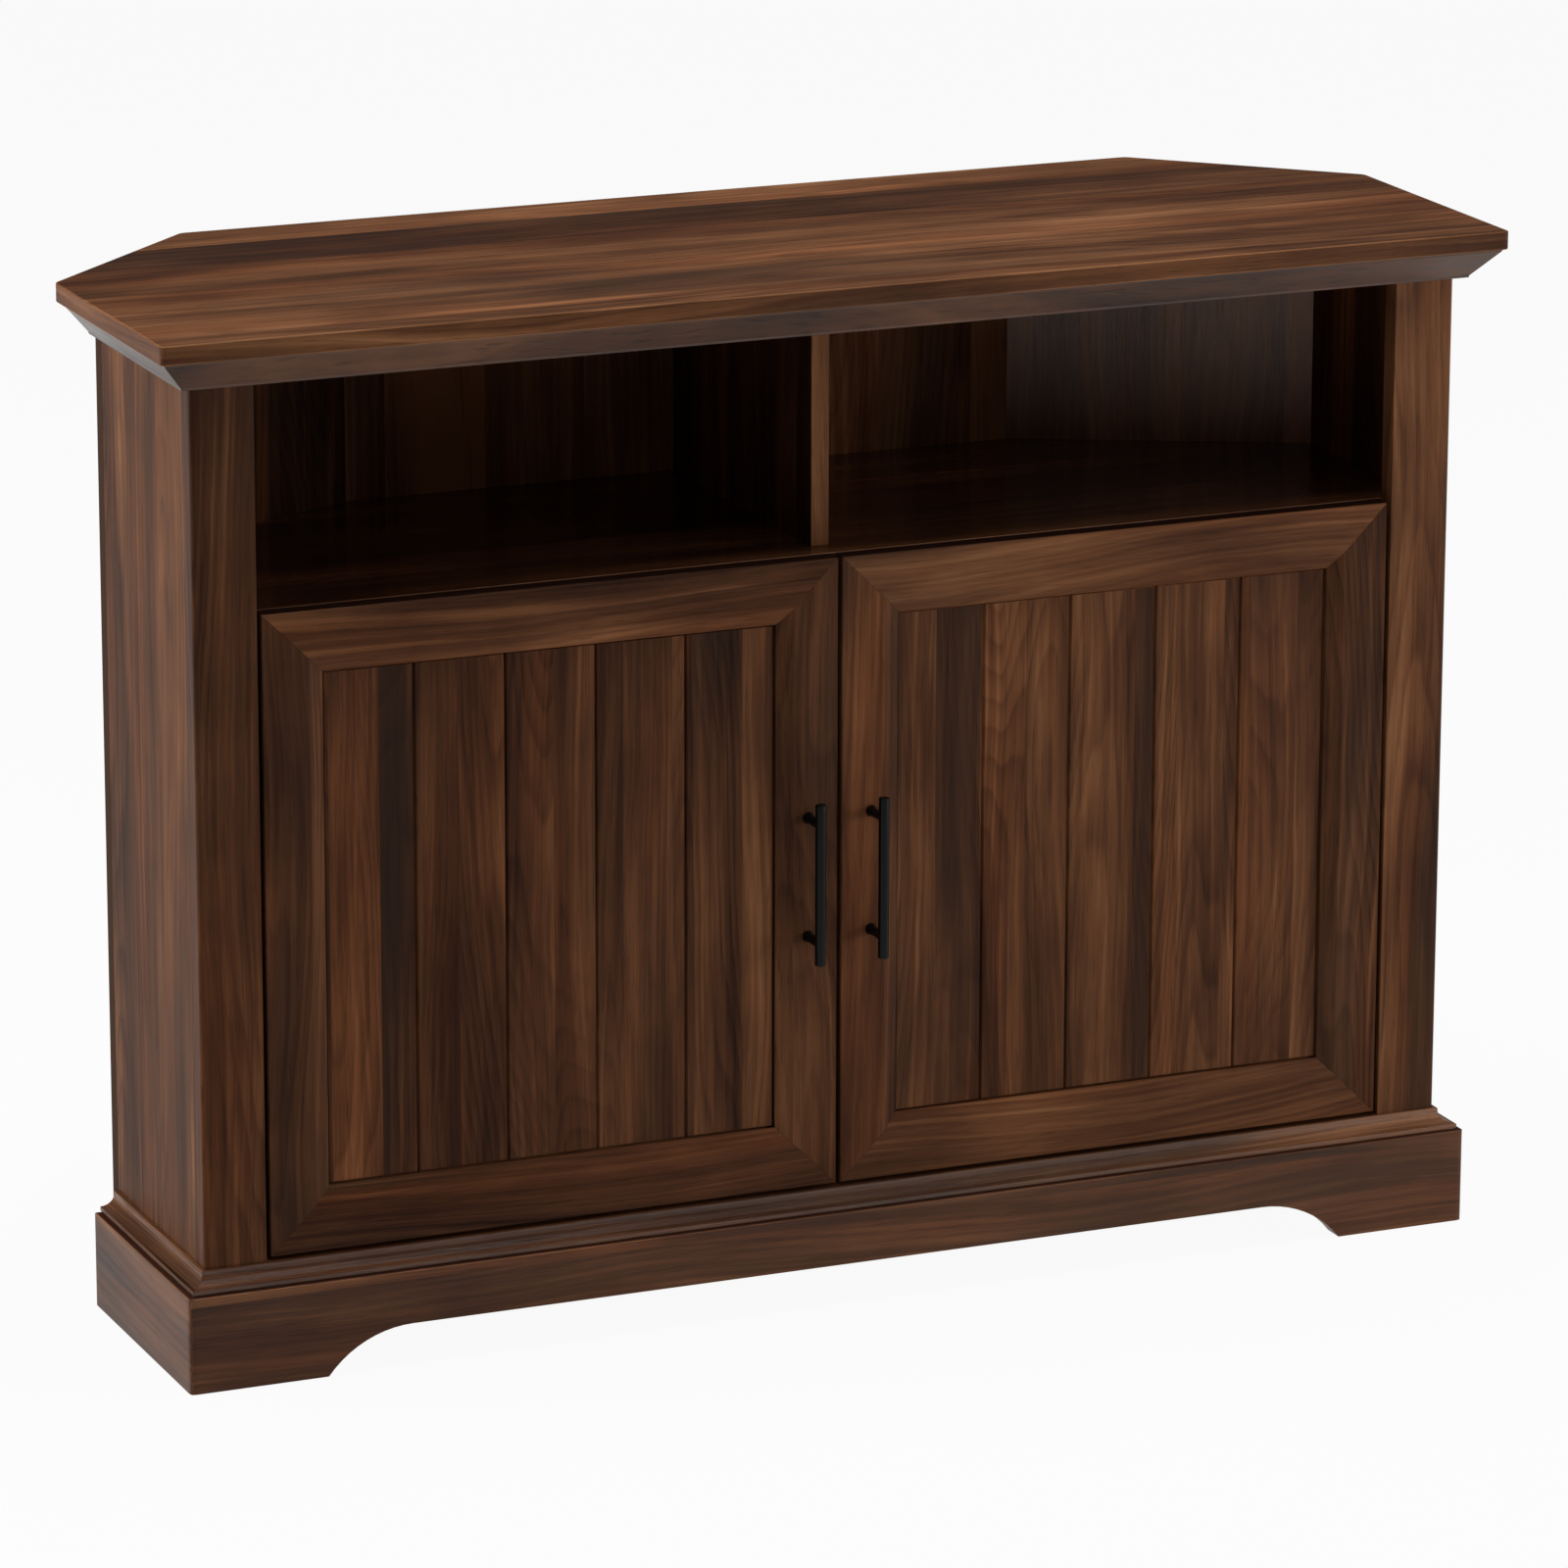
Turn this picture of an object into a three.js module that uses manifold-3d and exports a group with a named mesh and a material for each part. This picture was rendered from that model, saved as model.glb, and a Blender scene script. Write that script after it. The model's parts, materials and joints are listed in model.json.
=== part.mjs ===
// Corner television cabinet in walnut-faced board: a carcass with cut-off rear corners, two open niches
// above a cupboard, and two framed doors on concealed hinges. Millimetres, X right, Y back, Z up.
// The posts and the closed doors share one front plane. The origin is on the floor under the top's middle.
import * as THREE from "three";
import { mergeVertices } from "three/addons/utils/BufferGeometryUtils.js";
import Module from "manifold-3d";

const wasm = await Module();
wasm.setup();

// Top
const OVERALL_WIDTH = 1118;
const OVERALL_HEIGHT = 822;
const TOP_DEPTH = 392;
const TOP_SIDE_LENGTH = 250;
const TOP_BACK_WIDTH = 820;
const TOP_THICKNESS = 15;
const TOP_OVERHANG = 32;
const TOP_BACK_OVERHANG = 25;
const TOP_CORNER_ROUND = 4;
const TOP_EDGE_ROUND = 1;

// Crown moulding under the top
const CROWN_HEIGHT = 25;
const CROWN_REACH = 28;
const CROWN_FOOT = 9;
const CROWN_EDGE = 1.5;

// Carcass
const PANEL_THICKNESS = 15;
const BACK_THICKNESS = 12;
const POST_WIDTH = 50.5;
const POST_THICKNESS = 18;
const POST_CORNER_ROUND = 3;
const SIDE_SETBACK = 12;
const BACK_CORNER_INSET = 122;
const RETURN_OVERRUN = 3;
const FIXED_SHELF_TOP = 603;
const DIVIDER_SETBACK = 41;
const CABLE_HOLE_RADIUS = 25;
const CABLE_HOLE_HEIGHT = 90;
const CABLE_HOLE_SPACING = 290;

// Plinth and base moulding
const PLINTH_HEIGHT = 77;
const PLINTH_THICKNESS = 19;
const PLINTH_CORNER_ROUND = 5;
const PLINTH_ARRIS = 0.8;
const FOOT_WIDTH = 112;
const ARCH_HEIGHT = 34;
const ARCH_RADIUS = 88;
const MOULDING_HEIGHT = 16;
const MOULDING_REACH = 14.5;
const MOULDING_FILLET = 4.5;
const MOULDING_NOSE = 3;
const MOULDING_NOSE_HEIGHT = 2.5;
const MOULDING_QUIRK_HEIGHT = 1;
const MOULDING_QUIRK_DEPTH = 1.2;

// Doors
const DOOR_THICKNESS = 16;
const DOOR_GAP = 3.5;
const DOOR_FOOT_GAP = 3;
const DOOR_BACK_GAP = 2;
const FRAME_WIDTH = 50;
const FRAME_BEVEL_WIDTH = 13;
const FRAME_BEVEL_DEPTH = 6;
const FRAME_LIP = 2.2;
const FRAME_ARRIS = 0.8;
const GROOVE_DEPTH = 7;
const DOOR_PANEL_THICKNESS = 5;
const PLANK_COUNT = 5;
const PLANK_GROOVE_WIDTH = 3;
const PLANK_GROOVE_DEPTH = 2;

// Bar handles
const HANDLE_LENGTH = 130;
const HANDLE_RADIUS = 4.25;
const HANDLE_END_ROUND = 0.8;
const HANDLE_SPACING = 96;
const HANDLE_PROJECTION = 25;
const STANDOFF_RADIUS = 3.6;
const STANDOFF_FOOT_RADIUS = 4.6;
const STANDOFF_FOOT_LENGTH = 4;

// Concealed hinges
const CUP_RADIUS = 17.5;
const CUP_DEPTH = 11;
const CUP_WALL = 1;
const CUP_EDGE_DISTANCE = 22;
const CUP_FLANGE = 1.2;
const CUP_FLANGE_RADIUS = 19.5;
const CUP_WING_LENGTH = 60;
const CUP_WING_WIDTH = 15;
const CUP_CLEARANCE = 0.3;
const HINGE_INSET = 95;
const HINGE_RAIL_DEPTH = 80;
const ARM_WIDTH = 14;
const ARM_THICKNESS = 5;
const ARM_LENGTH = 70;
const ARM_TIP_REACH = 12;
const ARM_CRANK = 12;
const PLATE_LENGTH = 36;
const PLATE_HEIGHT = 46;
const PLATE_THICKNESS = 2;

// Magnetic catches
const CATCH_WIDTH = 46;
const CATCH_HEIGHT = 14;
const CATCH_DEPTH = 16;
const CATCH_DISTANCE = 60;
const STRIKE_WIDTH = 40;
const STRIKE_HEIGHT = 12;
const STRIKE_THICKNESS = 1.2;

// Adjustable shelves and their pins
const LOOSE_SHELF_GAP = 1.5;
const LOOSE_SHELF_RISE = 240;
const PIN_RADIUS = 2.5;
const PIN_HEAD_RADIUS = 4.5;
const PIN_HEAD_LENGTH = 9;
const PIN_DEPTH = 6;
const PIN_HOLE_PITCH = 32;
const PIN_FRONT_INSET = 30;
const PIN_REAR_INSET = 20;

// Fits, and how finely curves are stepped
const FIT_GAP = 0.3;
const MITRE_GAP = 0.2;
const CUT_OVERRUN = 5;
const ROUND_STEPS = 3;
const COVE_STEPS = 6;
const ARCH_STEPS = 10;
const TURNED_STEPS = 24;
const PIN_STEPS = 12;
const OUTSIDE_MITRE_SHARE = 1;
const INSIDE_MITRE_SHARE = -1;
const MERGE_SHARE = 0.001;

// The two sides of the cabinet, by name and by the sign of X.
const SIDES = [
  ["left", -1],
  ["right", 1],
];

// Heights and places that follow from the sizes above, measured from the floor and the front plane.
const frontPlane = TOP_OVERHANG - TOP_DEPTH / 2;
const topUnderside = OVERALL_HEIGHT - TOP_THICKNESS;
const crownUnderside = topUnderside - CROWN_HEIGHT;
const bodyHalf = OVERALL_WIDTH / 2 - TOP_OVERHANG;
const roomHalf = bodyHalf - PANEL_THICKNESS;
const sideDepth = TOP_SIDE_LENGTH - TOP_OVERHANG - SIDE_SETBACK;
const returnDepth = sideDepth + RETURN_OVERRUN;
const roomDepth = TOP_DEPTH - TOP_OVERHANG - TOP_BACK_OVERHANG - BACK_THICKNESS;
const roomBackHalf = TOP_BACK_WIDTH / 2 - BACK_CORNER_INSET;
const openingHalf = bodyHalf - POST_WIDTH;
const floorTop = PLINTH_HEIGHT + MOULDING_HEIGHT;
const floorUnderside = floorTop - PANEL_THICKNESS;
const fixedShelfUnderside = FIXED_SHELF_TOP - PANEL_THICKNESS;
const shelfFront = DOOR_THICKNESS + DOOR_BACK_GAP;
const doorBottom = floorTop + DOOR_FOOT_GAP;
const doorHeight = FIXED_SHELF_TOP - doorBottom;
const doorWidth = openingHalf - DOOR_GAP - DOOR_GAP / 2;
const panelFace = FRAME_BEVEL_DEPTH + FRAME_LIP;
const cupCentre = DOOR_GAP + CUP_EDGE_DISTANCE;
const railRear = POST_THICKNESS + HINGE_RAIL_DEPTH;
const looseShelfFront = railRear + LOOSE_SHELF_GAP;
const looseShelfUnderside = floorTop + LOOSE_SHELF_RISE;

// The angled back runs from the side panel's rear corner to the end of the centre back panel.
const angledRun = bodyHalf - roomBackHalf;
const angledSlope = (roomDepth - sideDepth) / angledRun;
const angledTurn = Math.atan(angledSlope);
const angledDepthAt = (x, gap) => sideDepth + (bodyHalf - x) * angledSlope - gap / Math.cos(angledTurn);

// Colours of the finishes, as they look in plain light.
const FINISHES = {
  walnut: { color: 0x5b3a28, roughness: 0.5, metalness: 0 },
  darkWalnut: { color: 0x3d281d, roughness: 0.55, metalness: 0 },
  blackMetal: { color: 0x151413, roughness: 0.4, metalness: 0.7 },
  nickel: { color: 0xb9b7b2, roughness: 0.3, metalness: 1 },
  plastic: { color: 0x2c2522, roughness: 0.5, metalness: 0 },
};

function addMesh(group, name, geometry, finish) {
  const mesh = new THREE.Mesh(geometry, new THREE.MeshStandardMaterial(FINISHES[finish]));
  mesh.name = name;
  group.add(mesh);
}

const mirrored = (outline, side) => outline.map(([x, y]) => [side * x, y]);

const shapeOf = (outline) => new THREE.Shape(outline.map(([x, y]) => new THREE.Vector2(x, y)));

// A point on the way from one corner towards the next, a given distance along.
function towards(corner, next, distance) {
  const length = Math.hypot(next[0] - corner[0], next[1] - corner[1]);
  return corner.map((value, axis) => value + ((next[axis] - value) * distance) / length);
}

// An outline whose corners are eased. Each corner is [x, y, round], and a round of zero stays sharp.
function easedShape(corners) {
  const shape = new THREE.Shape();
  corners.forEach((corner, i) => {
    const before = corners.at(i - 1);
    const after = corners[(i + 1) % corners.length];
    const flat = corner.slice(0, 2);
    const enter = towards(flat, before, corner[2]);
    const leave = towards(flat, after, corner[2]);
    if (i === 0) shape.moveTo(...enter);
    else shape.lineTo(...enter);
    if (corner[2] > 0) shape.quadraticCurveTo(...flat, ...leave);
  });
  shape.closePath();
  return shape;
}

// A plan shape raised between two heights.
function raise(shape, bottom, top) {
  const options = { depth: top - bottom, bevelEnabled: false, curveSegments: ROUND_STEPS };
  return new THREE.ExtrudeGeometry(shape, options).translate(0, 0, bottom);
}

// A front-view shape with points [x, z], carried back between two depths.
function carryBack(shape, front, back) {
  const options = { depth: back - front, bevelEnabled: false, curveSegments: ROUND_STEPS };
  return new THREE.ExtrudeGeometry(shape, options).rotateX(Math.PI / 2).translate(0, back, 0);
}

function block(low, high) {
  const size = high.map((value, axis) => value - low[axis]);
  const middle = high.map((value, axis) => (value + low[axis]) / 2);
  return new THREE.BoxGeometry(...size).translate(...middle);
}

// A turned shape: its profile of [radius, height] points is spun round Z.
function turned(profile, steps) {
  const points = profile.map(([radius, height]) => new THREE.Vector2(radius, height));
  return new THREE.LatheGeometry(points, steps).rotateX(Math.PI / 2);
}

// A mesh as a solid for joining and cutting, with its faces turned outwards.
function solid(geometry) {
  const bare = new THREE.BufferGeometry().setAttribute("position", geometry.getAttribute("position"));
  if (geometry.index) bare.setIndex(geometry.index);
  const merged = mergeVertices(bare, FIT_GAP * MERGE_SHARE);
  const vertProperties = new Float32Array(merged.attributes.position.array);
  const make = (triVerts) => new wasm.Manifold(new wasm.Mesh({ numProp: 3, vertProperties, triVerts }));
  const made = make(new Uint32Array(merged.index.array));
  return made.volume() < 0 ? make(new Uint32Array(merged.index.array).reverse()) : made;
}

function meshed(body) {
  const { vertProperties, triVerts } = body.getMesh();
  const geometry = new THREE.BufferGeometry();
  geometry.setAttribute("position", new THREE.BufferAttribute(vertProperties, 3));
  geometry.setIndex(new THREE.BufferAttribute(triVerts, 1));
  const faceted = geometry.toNonIndexed();
  faceted.computeVertexNormals();
  return faceted;
}

const cut = (geometry, ...cutters) =>
  meshed(cutters.reduce((left, cutter) => left.subtract(solid(cutter)), solid(geometry)));

const join = (...pieces) => meshed(pieces.map(solid).reduce((whole, piece) => whole.add(piece)));

// A straight bar with one profile of [out, up] points all along. A mitre share lengthens that end by the
// point's outward reach times the share, and a mitred end stops short by half the mitre gap.
// The place function turns [along, out, up] into [x, y, z].
function mitredBar(profile, length, startShare, endShare, place) {
  const startGap = startShare === 0 ? 0 : MITRE_GAP / 2;
  const endGap = endShare === 0 ? 0 : MITRE_GAP / 2;
  const outline = profile.map(([out, up]) => new THREE.Vector2(out, up));
  if (THREE.ShapeUtils.isClockWise(outline)) outline.reverse();
  const start = outline.map(({ x, y }) => place(startGap - x * startShare, x, y));
  const end = outline.map(({ x, y }) => place(length - endGap + x * endShare, x, y));
  const count = outline.length;
  const faces = [];
  outline.forEach((_, i) => {
    const j = (i + 1) % count;
    faces.push(i, j, count + j, i, count + j, count + i);
  });
  for (const [a, b, c] of THREE.ShapeUtils.triangulateShape(outline, [])) {
    faces.push(c, b, a, count + a, count + b, count + c);
  }
  const geometry = new THREE.BufferGeometry();
  geometry.setAttribute("position", new THREE.Float32BufferAttribute([...start, ...end].flat(), 3));
  geometry.setIndex(faces);
  return meshed(solid(geometry));
}

// The room inside the carcass, seen from above, on the right half: the front edge at one depth, and the
// rear following the side panel, the angled back and the centre back with a gap.
function roomOutline(inner, outer, front, gap) {
  return [
    [inner, front],
    [outer, front],
    [outer, angledDepthAt(outer, gap)],
    [roomBackHalf - gap * Math.tan(angledTurn / 2), roomDepth - gap],
    [inner, roomDepth - gap],
  ];
}

// A whole-width board: the right half's outline, then the same points mirrored.
function wholeOutline(half) {
  const right = half.filter(([x]) => x > 0);
  return [...right, ...mirrored(right, -1).reverse()];
}

function addTop(cabinet) {
  const half = OVERALL_WIDTH / 2;
  const front = -TOP_OVERHANG;
  const round = TOP_CORNER_ROUND;
  const right = [
    [half, front, round],
    [half, front + TOP_SIDE_LENGTH, round],
    [TOP_BACK_WIDTH / 2, front + TOP_DEPTH, round],
  ];
  const left = right.map(([x, y, r]) => [-x, y, r]).reverse();
  const options = {
    depth: TOP_THICKNESS - 2 * TOP_EDGE_ROUND,
    bevelThickness: TOP_EDGE_ROUND,
    bevelSize: TOP_EDGE_ROUND,
    bevelOffset: -TOP_EDGE_ROUND,
    bevelSegments: 2,
    curveSegments: ROUND_STEPS,
  };
  const slab = new THREE.ExtrudeGeometry(easedShape([...right, ...left]), options);
  addMesh(cabinet, "top_panel", slab.translate(0, 0, topUnderside + TOP_EDGE_ROUND), "walnut");
}

// Bars that wrap the front and both sides of the carcass, mitred at the front corners.
function addWrap(cabinet, name, profile, bottom, refine, finish) {
  const frontPlace = (along, out, up) => [along - bodyHalf, -out, bottom + up];
  const mitre = OUTSIDE_MITRE_SHARE;
  const front = mitredBar(profile, 2 * bodyHalf, mitre, mitre, frontPlace);
  addMesh(cabinet, name + "_front", refine(front), finish);
  for (const [sideName, side] of SIDES) {
    const place = (along, out, up) => [side * (bodyHalf + out), along, bottom + up];
    const bar = mitredBar(profile, returnDepth, mitre, 0, place);
    addMesh(cabinet, name + "_" + sideName, refine(bar), finish);
  }
}

function addCrown(cabinet) {
  const profile = [
    [0, 0],
    [CROWN_FOOT, 0],
    [CROWN_FOOT, CROWN_EDGE],
    [CROWN_REACH, CROWN_HEIGHT - CROWN_EDGE],
    [CROWN_REACH, CROWN_HEIGHT],
    [0, CROWN_HEIGHT],
  ];
  addWrap(cabinet, "crown", profile, crownUnderside, (bar) => bar, "walnut");
}

// The base moulding's cove is a quarter ellipse between its fillet and its nose. A quirk under the fillet
// draws a shadow line on the plinth.
function addBaseMoulding(cabinet) {
  const reach = MOULDING_REACH - MOULDING_NOSE;
  const rise = MOULDING_HEIGHT - MOULDING_NOSE_HEIGHT - MOULDING_FILLET;
  const cove = Array.from({ length: COVE_STEPS + 1 }, (_, i) => {
    const turn = (i / COVE_STEPS) * (Math.PI / 2);
    const out = MOULDING_REACH - reach * Math.sin(turn);
    return [out, MOULDING_FILLET + rise * (1 - Math.cos(turn))];
  });
  const profile = [
    [0, 0],
    [MOULDING_REACH - MOULDING_QUIRK_DEPTH, 0],
    [MOULDING_REACH - MOULDING_QUIRK_DEPTH, MOULDING_QUIRK_HEIGHT],
    [MOULDING_REACH, MOULDING_QUIRK_HEIGHT],
    ...cove,
    [MOULDING_NOSE, MOULDING_HEIGHT],
    [0, MOULDING_HEIGHT],
  ];
  addWrap(cabinet, "base_moulding", profile, PLINTH_HEIGHT, (bar) => bar, "walnut");
}

// The plinth's front board is cut away between its two feet in a low arch that springs in a round.
function archCutter() {
  const footEdge = bodyHalf + PLINTH_THICKNESS - FOOT_WIDTH;
  const spring = Math.acos(1 - ARCH_HEIGHT / ARCH_RADIUS);
  const round = Array.from({ length: ARCH_STEPS + 1 }, (_, i) => {
    const turn = spring * (1 - i / ARCH_STEPS);
    const inward = ARCH_RADIUS * (Math.sin(spring) - Math.sin(turn));
    return [footEdge - inward, ARCH_HEIGHT - ARCH_RADIUS * (1 - Math.cos(turn))];
  });
  const right = [[footEdge, -CUT_OVERRUN], ...round];
  const outline = shapeOf([...right, ...mirrored(right, -1).reverse()]);
  return carryBack(outline, -PLINTH_THICKNESS - CUT_OVERRUN, CUT_OVERRUN);
}

function addPlinth(cabinet) {
  const profile = [
    [0, 0],
    [PLINTH_THICKNESS, 0],
    [PLINTH_THICKNESS, PLINTH_HEIGHT - PLINTH_ARRIS],
    [PLINTH_THICKNESS - PLINTH_ARRIS, PLINTH_HEIGHT],
    [0, PLINTH_HEIGHT],
  ];
  const half = bodyHalf + PLINTH_THICKNESS;
  const footprint = easedShape([
    [half, -PLINTH_THICKNESS, PLINTH_CORNER_ROUND],
    [half, returnDepth, 0],
    [-half, returnDepth, 0],
    [-half, -PLINTH_THICKNESS, PLINTH_CORNER_ROUND],
  ]);
  const envelope = solid(raise(footprint, -CUT_OVERRUN, PLINTH_HEIGHT + CUT_OVERRUN));
  const arch = solid(archCutter());
  const refine = (bar) => meshed(solid(bar).intersect(envelope).subtract(arch));
  addWrap(cabinet, "plinth", profile, 0, refine, "walnut");
  const board = [-roomBackHalf, roomDepth - PANEL_THICKNESS, 0];
  const opposite = [roomBackHalf, roomDepth, floorUnderside];
  addMesh(cabinet, "rear_base_board", block(board, opposite), "darkWalnut");
}

function addPosts(cabinet) {
  for (const [sideName, side] of SIDES) {
    const corners = [
      [openingHalf, 0, 0],
      [bodyHalf, 0, POST_CORNER_ROUND],
      [bodyHalf, POST_THICKNESS, 0],
      [openingHalf, POST_THICKNESS, 0],
    ];
    const shape = easedShape(corners.map(([x, y, round]) => [side * x, y, round]));
    addMesh(cabinet, sideName + "_post", raise(shape, 0, topUnderside), "walnut");
  }
  const low = [-openingHalf, 0, crownUnderside];
  const high = [openingHalf, POST_THICKNESS, topUnderside];
  addMesh(cabinet, "top_rail", block(low, high), "walnut");
}

// Holes along X for the shelf pins, bored from the room into a panel's face.
function pinBore(face, direction, pin) {
  const depth = PIN_DEPTH + FIT_GAP;
  const length = depth + CUT_OVERRUN;
  const bore = new THREE.CylinderGeometry(PIN_RADIUS + FIT_GAP, PIN_RADIUS + FIT_GAP, length, PIN_STEPS);
  const middle = face + (direction * (depth - CUT_OVERRUN)) / 2;
  return bore.rotateZ(Math.PI / 2).translate(middle, ...pin);
}

// The pins' places [y, z] under one loose shelf: along the side panel, and along the partition. Each pin's
// hole has a free one below it and above it.
const pinHeight = looseShelfUnderside - FIT_GAP - PIN_HEAD_RADIUS;
const sidePins = [
  [looseShelfFront + PIN_FRONT_INSET, pinHeight],
  [sideDepth - PIN_REAR_INSET, pinHeight],
];
const partitionPins = [
  [looseShelfFront + PIN_FRONT_INSET, pinHeight],
  [roomDepth - PIN_FRONT_INSET, pinHeight],
];

function pinBores(face, direction, pins) {
  const steps = [-PIN_HOLE_PITCH, 0, PIN_HOLE_PITCH];
  const holes = pins.flatMap(([y, z]) => steps.map((step) => [y, z + step]));
  return holes.map((hole) => pinBore(face, direction, hole));
}

function addSides(cabinet) {
  for (const [sideName, side] of SIDES) {
    const outline = [
      [roomHalf, POST_THICKNESS],
      [bodyHalf, POST_THICKNESS],
      [bodyHalf, angledDepthAt(bodyHalf, FIT_GAP)],
      [roomHalf, angledDepthAt(roomHalf, FIT_GAP)],
    ];
    const panel = raise(shapeOf(mirrored(outline, side)), 0, topUnderside);
    const bores = pinBores(side * roomHalf, side, sidePins);
    addMesh(cabinet, sideName + "_side_panel", cut(panel, ...bores), "walnut");
    const low = [openingHalf, POST_THICKNESS, floorTop];
    const high = [roomHalf, railRear, fixedShelfUnderside];
    const rail = block(low, high).translate((side - 1) * ((openingHalf + roomHalf) / 2), 0, 0);
    addMesh(cabinet, sideName + "_hinge_rail", rail, "darkWalnut");
  }
}

// The three back panels meet in mitres that halve the angle between them.
function addBack(cabinet) {
  const corner = roomBackHalf;
  const mitre = Math.tan(angledTurn / 2);
  const spread = corner + BACK_THICKNESS * mitre;
  const outer = roomDepth + BACK_THICKNESS;
  const centre = shapeOf(wholeOutline([
    [corner - MITRE_GAP, roomDepth],
    [spread - MITRE_GAP, outer],
  ]));
  const holes = [-1, 1].map((side) => {
    const radius = CABLE_HOLE_RADIUS;
    const length = BACK_THICKNESS + 2 * CUT_OVERRUN;
    const hole = new THREE.CylinderGeometry(radius, radius, length, TURNED_STEPS);
    const height = floorTop + CABLE_HOLE_HEIGHT;
    return hole.translate((side * CABLE_HOLE_SPACING) / 2, (roomDepth + outer) / 2, height);
  });
  const panel = raise(centre, floorUnderside, topUnderside);
  addMesh(cabinet, "back_panel_center", cut(panel, ...holes), "darkWalnut");
  const endDepth = sideDepth + BACK_THICKNESS / Math.cos(angledTurn);
  const angled = [
    [corner, roomDepth],
    [bodyHalf, sideDepth],
    [bodyHalf, endDepth],
    [spread, outer],
  ];
  for (const [sideName, side] of SIDES) {
    const shape = shapeOf(mirrored(angled, side));
    addMesh(cabinet, "back_panel_" + sideName, raise(shape, floorUnderside, topUnderside), "darkWalnut");
  }
}

function addBoards(cabinet) {
  const floor = wholeOutline([
    [openingHalf, 0],
    [openingHalf, POST_THICKNESS],
    ...roomOutline(0, roomHalf, POST_THICKNESS, FIT_GAP),
  ]);
  addMesh(cabinet, "bottom_panel", raise(shapeOf(floor), floorUnderside, floorTop), "darkWalnut");
  const fixed = shapeOf(wholeOutline(roomOutline(0, roomHalf, shelfFront, FIT_GAP)));
  addMesh(cabinet, "middle_shelf", raise(fixed, fixedShelfUnderside, FIXED_SHELF_TOP), "walnut");
  const half = PANEL_THICKNESS / 2;
  const upright = (bottom, top) => block([-half, DIVIDER_SETBACK, bottom], [half, roomDepth - FIT_GAP, top]);
  addMesh(cabinet, "niche_divider", upright(FIXED_SHELF_TOP, topUnderside), "walnut");
  const bores = [-1, 1].flatMap((side) => pinBores(side * half, -side, partitionPins));
  const partition = cut(upright(floorTop, fixedShelfUnderside), ...bores);
  addMesh(cabinet, "cupboard_partition", partition, "darkWalnut");
}

// One pin: a shank in the bore and a round head that the shelf lies on. It points along +X.
function shelfPin(face, direction, pin) {
  const profile = [
    [0, 0],
    [PIN_RADIUS, 0],
    [PIN_RADIUS, PIN_DEPTH],
    [PIN_HEAD_RADIUS, PIN_DEPTH],
    [PIN_HEAD_RADIUS, PIN_DEPTH + PIN_HEAD_LENGTH],
    [0, PIN_DEPTH + PIN_HEAD_LENGTH],
  ];
  const turn = (direction * Math.PI) / 2;
  return turned(profile, PIN_STEPS).rotateY(turn).translate(face - direction * PIN_DEPTH, ...pin);
}

function addLooseShelves(cabinet) {
  const half = PANEL_THICKNESS / 2;
  const inner = half + LOOSE_SHELF_GAP;
  const outer = roomHalf - LOOSE_SHELF_GAP;
  const outline = roomOutline(inner, outer, looseShelfFront, LOOSE_SHELF_GAP);
  const top = looseShelfUnderside + PANEL_THICKNESS;
  for (const [sideName, side] of SIDES) {
    const shape = shapeOf(mirrored(outline, side));
    addMesh(cabinet, sideName + "_loose_shelf", raise(shape, looseShelfUnderside, top), "darkWalnut");
    sidePins.forEach((pin, i) => {
      const name = sideName + "_shelf_pin_outer_" + (i + 1);
      addMesh(cabinet, name, shelfPin(side * roomHalf, -side, pin), "nickel");
    });
    partitionPins.forEach((pin, i) => {
      const name = sideName + "_shelf_pin_inner_" + (i + 1);
      addMesh(cabinet, name, shelfPin(side * half, side, pin), "nickel");
    });
  }
}

const hingeHeights = [
  ["lower", doorBottom + HINGE_INSET],
  ["upper", doorBottom + doorHeight - HINGE_INSET],
];

// A hinge's arm, seen from above as [in from the post, back from the front plane]. Its tip stands over the
// closed door's cup, and it cranks back to a plate on the hinge rail.
function hingeArm(side, height) {
  const tipFront = DOOR_THICKNESS + CUP_FLANGE + FIT_GAP;
  const tipBack = tipFront + ARM_THICKNESS;
  const inner = PLATE_THICKNESS + ARM_THICKNESS;
  const crankBack = tipBack + ARM_CRANK;
  const outline = [
    [cupCentre + ARM_TIP_REACH, tipFront],
    [cupCentre + ARM_TIP_REACH, tipBack],
    [inner + ARM_CRANK, tipBack],
    [inner, crankBack],
    [inner, tipFront + ARM_LENGTH],
    [0, tipFront + ARM_LENGTH],
    [0, crankBack],
    [ARM_CRANK, tipFront],
  ];
  const place = mirrored(outline.map(([x, y]) => [openingHalf - x, y]), side);
  const arm = raise(shapeOf(place), height - ARM_WIDTH / 2, height + ARM_WIDTH / 2);
  const plateBack = tipFront + ARM_LENGTH - ARM_THICKNESS;
  const across = [side * openingHalf, side * (openingHalf - PLATE_THICKNESS)];
  const low = [Math.min(...across), plateBack - PLATE_LENGTH, height - PLATE_HEIGHT / 2];
  const high = [Math.max(...across), plateBack, height + PLATE_HEIGHT / 2];
  return join(arm, block(low, high));
}

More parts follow.
